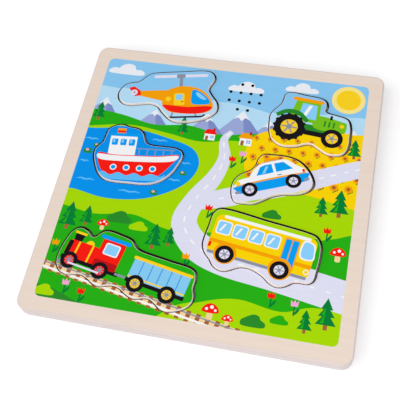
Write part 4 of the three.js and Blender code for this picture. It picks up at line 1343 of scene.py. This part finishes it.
def screw_tree(material):
    """A pan-head screw with a cross in its head, seat at z 0 and head downwards."""
    build = NodeTree(
        "cross_screw", ("Head width", "Head height", "Shank width", "Length", "Cross width")
    )
    head_r = build.share("Head width", 0.5)
    dome_r = build.share("Head width", DOME_FLAT)
    rim_h = build.share("Head height", RIM_SHARE)
    dome_h = build.share("Head height", 1 - RIM_SHARE)
    rim = build.add(
        "GeometryNodeMeshCylinder", {"Vertices": HEAD_FACETS, "Radius": head_r, "Depth": rim_h}
    )
    rim_at = build.moved(rim.outputs["Mesh"], z=build.times(rim_h, -0.5))
    dome = build.add(
        "GeometryNodeMeshCone",
        {"Vertices": HEAD_FACETS, "Radius Top": head_r, "Radius Bottom": dome_r, "Depth": dome_h},
    )
    dome_at = build.moved(dome.outputs["Mesh"], z=build.share("Head height", -1.0))
    shank_r = build.share("Shank width", 0.5)
    shank = build.add(
        "GeometryNodeMeshCylinder",
        {"Vertices": SHANK_FACETS, "Radius": shank_r, "Depth": build.size("Length")},
    )
    shank_at = build.moved(shank.outputs["Mesh"], z=build.share("Length", 0.5))
    span = build.share("Head width", CROSS_SPAN)
    width = build.size("Cross width")
    deep = build.size("Head height")
    cuts = []
    for sides in ({"x": span, "y": width}, {"x": width, "y": span}):
        bar = build.add("GeometryNodeMeshCube", {"Size": build.vector(z=deep, **sides)})
        cuts.append(build.moved(bar.outputs["Mesh"], z=build.share("Head height", CROSS_MIDDLE)))
    head = build.add("GeometryNodeMeshBoolean", operation="UNION")
    for part in (rim_at, dome_at):
        build.tree.links.new(part, head.inputs["Mesh 2"])
    crossed = build.add(
        "GeometryNodeMeshBoolean", {"Mesh 1": head.outputs["Mesh"]}, operation="DIFFERENCE"
    )
    for cut in cuts:
        build.tree.links.new(cut, crossed.inputs["Mesh 2"])
    whole = build.add("GeometryNodeJoinGeometry")
    for part in (crossed.outputs["Mesh"], shank_at):
        build.tree.links.new(part, whole.inputs["Geometry"])
    build.close(whole.outputs["Geometry"], material)
    return build


def rib_tree(material):
    """A grip rib, standing downwards from z 0."""
    build = NodeTree("grip_rib", ("Rib length", "Rib width", "Rib height"))
    size = build.vector(build.size("Rib length"), build.size("Rib width"), build.size("Rib height"))
    bar = build.add("GeometryNodeMeshCube", {"Size": size})
    low = build.moved(bar.outputs["Mesh"], z=build.share("Rib height", -0.5))
    build.close(low, material)
    return build


def repeated(name, build, points, sizes, edge):
    """Runs a tree on points, rounds its edges and gives the plain mesh as an object."""
    dots = bpy.data.meshes.new(f"{name}_points")
    dots.from_pydata([tuple(point) for point in points], [], [])
    holder = new_object(f"{name}_holder", dots)
    modifier = holder.modifiers.new("repeat", "NODES")
    modifier.node_group = build.tree
    for label, value in sizes.items():
        modifier[build.sizes[label]] = value
    graph = bpy.context.evaluated_depsgraph_get()
    mesh = bpy.data.meshes.new_from_object(holder.evaluated_get(graph))
    holder.modifiers.remove(modifier)
    bpy.data.objects.remove(holder)
    mesh.name = name
    bm = bmesh.new()
    bm.from_mesh(mesh)
    bmesh.ops.remove_doubles(bm, verts=bm.verts, dist=WELD)
    if edge:
        sharp = [line for line in bm.edges if line.is_manifold and line.calc_face_angle() > ROUNDED_ANGLE]
        bmesh.ops.bevel(
            bm, geom=sharp, offset=edge, segments=ROUNDED_STEPS, affect="EDGES", clamp_overlap=True
        )
    for face in bm.faces:
        face.smooth = True
    bm.to_mesh(mesh)
    bm.free()
    mesh.set_sharp_from_angle(angle=SMALL_SMOOTH_ANGLE)
    return new_object(name, mesh)


# Operators


class PUZZLE_OT_board(Operator):
    """Build the printed board, its lower layer and the back panel"""

    bl_idname = "puzzle.board"
    bl_label = "Board"

    def execute(self, context):
        woods = context.scene.puzzle_woods
        # Outer sides: the sawn wood's tone with painted shade
        face_wood = wood("birch_face", woods.face, woods.face_grain)
        edge_and_shade_wood = wood("sawn_edge_and_shade", woods.edge, woods.edge_grain)
        base_wood = wood("birch_base", woods.base, woods.base_grain)
        hardboard = wood(
            "hardboard", woods.panel, woods.panel_fibre, figure=(700, 700, 700), fibre=(2400, 2400, 2400)
        )
        # Painted shade: dark recess walls and rims, for the shade in the gaps round the pieces
        recess_shade_wood = wood("recess_shade_birch", woods.recess_shade, woods.hole, specular=0.1)
        # Painted shade: near-black speaker hole walls, for the shade inside the holes
        hole_shade_wood = wood("hole_shade_birch", woods.hole, woods.hole, specular=0.1)
        materials = (print_ink(), face_wood, recess_shade_wood, hole_shade_wood, edge_and_shade_wood)
        face_board(context.scene.puzzle_sizes, materials)
        dressed_copy("base_board", "wood_base", "birch_base", "board", base_wood)
        dressed_copy("back_panel", "underside_panel", "hardboard", "board", hardboard)
        return {"FINISHED"}


class PUZZLE_OT_vehicles(Operator):
    """Build the six lift-out vehicles"""

    bl_idname = "puzzle.vehicles"
    bl_label = "Vehicles"

    def execute(self, context):
        woods = context.scene.puzzle_woods
        cut_wood = wood(
            "sawn_birch", woods.cut, woods.cut_grain, figure=(30, 30, 700), fibre=(300, 300, 2200)
        )
        for name in VEHICLES:
            lift_piece(name, context.scene.puzzle_sizes, (bpy.data.materials["print_ink"], cut_wood))
        return {"FINISHED"}


class PUZZLE_OT_fasteners(Operator):
    """Build the screws that show on the underside"""

    bl_idname = "puzzle.fasteners"
    bl_label = "Fasteners"

    def execute(self, context):
        sizes = context.scene.puzzle_sizes
        zinc = metal("zinc_plate", (196, 198, 204), 0.3, 1500)
        build = screw_tree(zinc)
        groups = (
            ("panel_fasteners", PANEL_SCREWS, "board"),
            ("door_fastener", ("door_screw",), "door_screw"),
        )
        for name, nodes, body in groups:
            boxes = [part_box(node) for node in nodes]
            low, high = boxes[0]
            screw_sizes = {
                "Head width": high.y - low.y,
                "Head height": sizes.screw_head,
                "Shank width": sizes.screw_shank,
                "Length": high.z - low.z - sizes.screw_head,
                "Cross width": sizes.cross_slot,
            }
            seats = [((a.x + b.x) / 2, (a.y + b.y) / 2, a.z + sizes.screw_head) for a, b in boxes]
            piece = repeated(name, build, seats, screw_sizes, sizes.screw_edge)
            stand_for(piece, "steel", body, *nodes)
        return {"FINISHED"}


class PUZZLE_OT_battery_door(Operator):
    """Build the battery door and its grip ribs"""

    bl_idname = "puzzle.battery_door"
    bl_label = "Battery door"

    def execute(self, context):
        sizes = context.scene.puzzle_sizes
        plastic = plain("door_plastic", (46, 46, 50), 0.5, 3200, depth=0.06 * MM)
        dressed_copy("battery_door", "door_leaf", "black_plastic", "battery_door", plastic)
        low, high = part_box("battery_door")
        screw_y = (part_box("door_screw")[0].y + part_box("door_screw")[1].y) / 2
        middle_x = (low.x + high.x) / 2
        first_y = screw_y + sizes.rib_start
        rows = [(middle_x, first_y + sizes.rib_pitch * row, low.z) for row in range(sizes.rib_count)]
        rib_sizes = {
            "Rib length": sizes.rib_length,
            "Rib width": sizes.rib_width,
            "Rib height": sizes.rib_height,
        }
        ribs = repeated("door_ribs", rib_tree(plastic), rows, rib_sizes, sizes.rib_edge)
        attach(ribs, "battery_door")
        return {"FINISHED"}


class PUZZLE_OT_hardware(Operator):
    """Finish the speaker, circuit board, cells and leads inside"""

    bl_idname = "puzzle.hardware"
    bl_label = "Hardware inside"

    def execute(self, context):
        for finish, *settings, nodes in HARDWARE:
            material = finish(*settings)
            for node in nodes:
                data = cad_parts[node].data
                data.materials.clear()
                data.materials.append(material)
        return {"FINISHED"}


class PUZZLE_OT_stage(Operator):
    """Build the floor, the light and the camera"""

    bl_idname = "puzzle.stage"
    bl_label = "Stage"

    def execute(self, context):
        studio = context.scene.puzzle_studio
        add_floor(studio)
        add_world(context.scene, studio.world_light)
        add_key(studio)
        add_fill(studio)
        add_camera(context.scene, studio)
        context.scene.view_settings.view_transform = "Standard"
        return {"FINISHED"}


# Stage


# Floor, with half its side in metres, and the camera's sensor in millimetres and nearest sight
FLOOR_HALF = 4.0
FLOOR_GREY = 246
FLOOR_ROUGHNESS = 0.9
SENSOR_WIDTH = 36
NEAREST_SEEN = 0.01


def seen_directly(tree):
    """One where the camera, a mirror or a clear surface looks straight at something."""
    rays = tree.nodes.new("ShaderNodeLightPath")
    total = rays.outputs["Is Camera Ray"]
    for label in ("Is Glossy Ray", "Is Transmission Ray"):
        either = tree.nodes.new("ShaderNodeMath")
        either.operation = "MAXIMUM"
        tree.links.new(total, either.inputs[0])
        tree.links.new(rays.outputs[label], either.inputs[1])
        total = either.outputs[0]
    return total


def add_floor(studio):
    """A wide pale floor that is lit a little when looked at, so that only the shadow is grey."""
    bm = bmesh.new()
    bmesh.ops.create_grid(bm, x_segments=1, y_segments=1, size=FLOOR_HALF)
    bmesh.ops.translate(bm, verts=bm.verts, vec=(0, 0, BOARD_LOW))
    finish = Finish("studio_floor", FLOOR_ROUGHNESS, specular=0.0)
    finish.shader.inputs["Base Color"].default_value = grey_level(FLOOR_GREY)
    finish.shader.inputs["Emission Color"].default_value = grey_level(FULL_CHANNEL)
    lift = finish.add("ShaderNodeMath", operation="MULTIPLY")
    lift.inputs[1].default_value = studio.floor_lift
    finish.link(seen_directly(finish.tree), lift.inputs[0])
    finish.link(lift.outputs[0], finish.shader.inputs["Emission Strength"])
    new_piece("studio_floor", bm, finish.material)


def add_world(scene, strength):
    """Even white light, and a white background where it is looked at."""
    world = bpy.data.worlds.new("studio")
    world.use_nodes = True
    scene.world = world
    tree = world.node_tree
    background = tree.nodes["Background"]
    background.inputs["Color"].default_value = (1, 1, 1, 1)
    level = tree.nodes.new("ShaderNodeMapRange")
    level.inputs["To Min"].default_value = strength
    level.inputs["To Max"].default_value = 1.0
    tree.links.new(seen_directly(tree), level.inputs["Value"])
    tree.links.new(level.outputs["Result"], background.inputs["Strength"])


def looking(place, way):
    """Placing of a lamp or a camera that looks along a way."""
    return Matrix.Translation(place) @ way.to_track_quat("-Z", "Y").to_matrix().to_4x4()


def add_key(studio):
    """A wide soft lamp on the left, in front of the board."""
    lamp = bpy.data.lights.new("key", "SUN")
    lamp.energy = studio.key_light
    lamp.angle = studio.key_width
    key = bpy.data.objects.new("key", lamp)
    key.matrix_world = looking(Vector(), Vector(studio.key_aim))
    bpy.context.scene.collection.objects.link(key)


def add_fill(studio):
    """A small soft lamp near the front edge, so that the light falls off towards the back."""
    lamp = bpy.data.lights.new("fill", "AREA")
    lamp.shape = "DISK"
    lamp.size = studio.fill_width
    lamp.energy = studio.fill_light
    place = Vector(studio.fill_place)
    fill = bpy.data.objects.new("fill", lamp)
    fill.matrix_world = looking(place, -place)
    bpy.context.scene.collection.objects.link(fill)


def add_camera(scene, studio):
    """The photograph's own view."""
    lens = bpy.data.cameras.new("photo_view")
    lens.lens = studio.lens
    lens.sensor_width = SENSOR_WIDTH
    lens.sensor_fit = "HORIZONTAL"
    lens.clip_start = NEAREST_SEEN
    camera = bpy.data.objects.new("photo_view", lens)
    place = Vector(studio.camera)
    look = looking(place, Vector(studio.target) - place)
    camera.matrix_world = look @ Matrix.Rotation(studio.roll, 4, "Z")
    scene.collection.objects.link(camera)
    scene.camera = camera


class PUZZLE_PT_sidebar(Panel):
    """Lists the puzzle's sizes, colours and building steps"""

    bl_idname = "PUZZLE_PT_sidebar"
    bl_label = "Sound puzzle"
    bl_space_type = "VIEW_3D"
    bl_region_type = "UI"
    bl_category = "Sound puzzle"

    def draw(self, context):
        layout = self.layout
        for operator in OPERATORS:
            layout.operator(operator.bl_idname)
        for label, group in GROUPS.items():
            box = layout.box()
            box.label(text=group.__doc__)
            settings = getattr(context.scene, label)
            for key in group.__annotations__:
                box.prop(settings, key)


GROUPS = {
    "puzzle_sizes": PuzzleSizes,
    "puzzle_woods": PuzzleWoods,
    "puzzle_inks": PuzzleInks,
    "puzzle_studio": PuzzleStudio,
}
OPERATORS = (
    PUZZLE_OT_board,
    PUZZLE_OT_vehicles,
    PUZZLE_OT_fasteners,
    PUZZLE_OT_battery_door,
    PUZZLE_OT_hardware,
    PUZZLE_OT_stage,
)
CLASSES = (*GROUPS.values(), *OPERATORS, PUZZLE_PT_sidebar)


def register():
    for cls in CLASSES:
        bpy.utils.register_class(cls)
    for label, group in GROUPS.items():
        setattr(bpy.types.Scene, label, PointerProperty(type=group))


def unregister():
    for label in GROUPS:
        delattr(bpy.types.Scene, label)
    for cls in reversed(CLASSES):
        bpy.utils.unregister_class(cls)


def main():
    register()
    bpy.ops.puzzle.board()
    bpy.ops.puzzle.vehicles()
    bpy.ops.puzzle.fasteners()
    bpy.ops.puzzle.battery_door()
    bpy.ops.puzzle.hardware()
    bpy.ops.puzzle.stage()


if __name__ == "__main__":
    main()
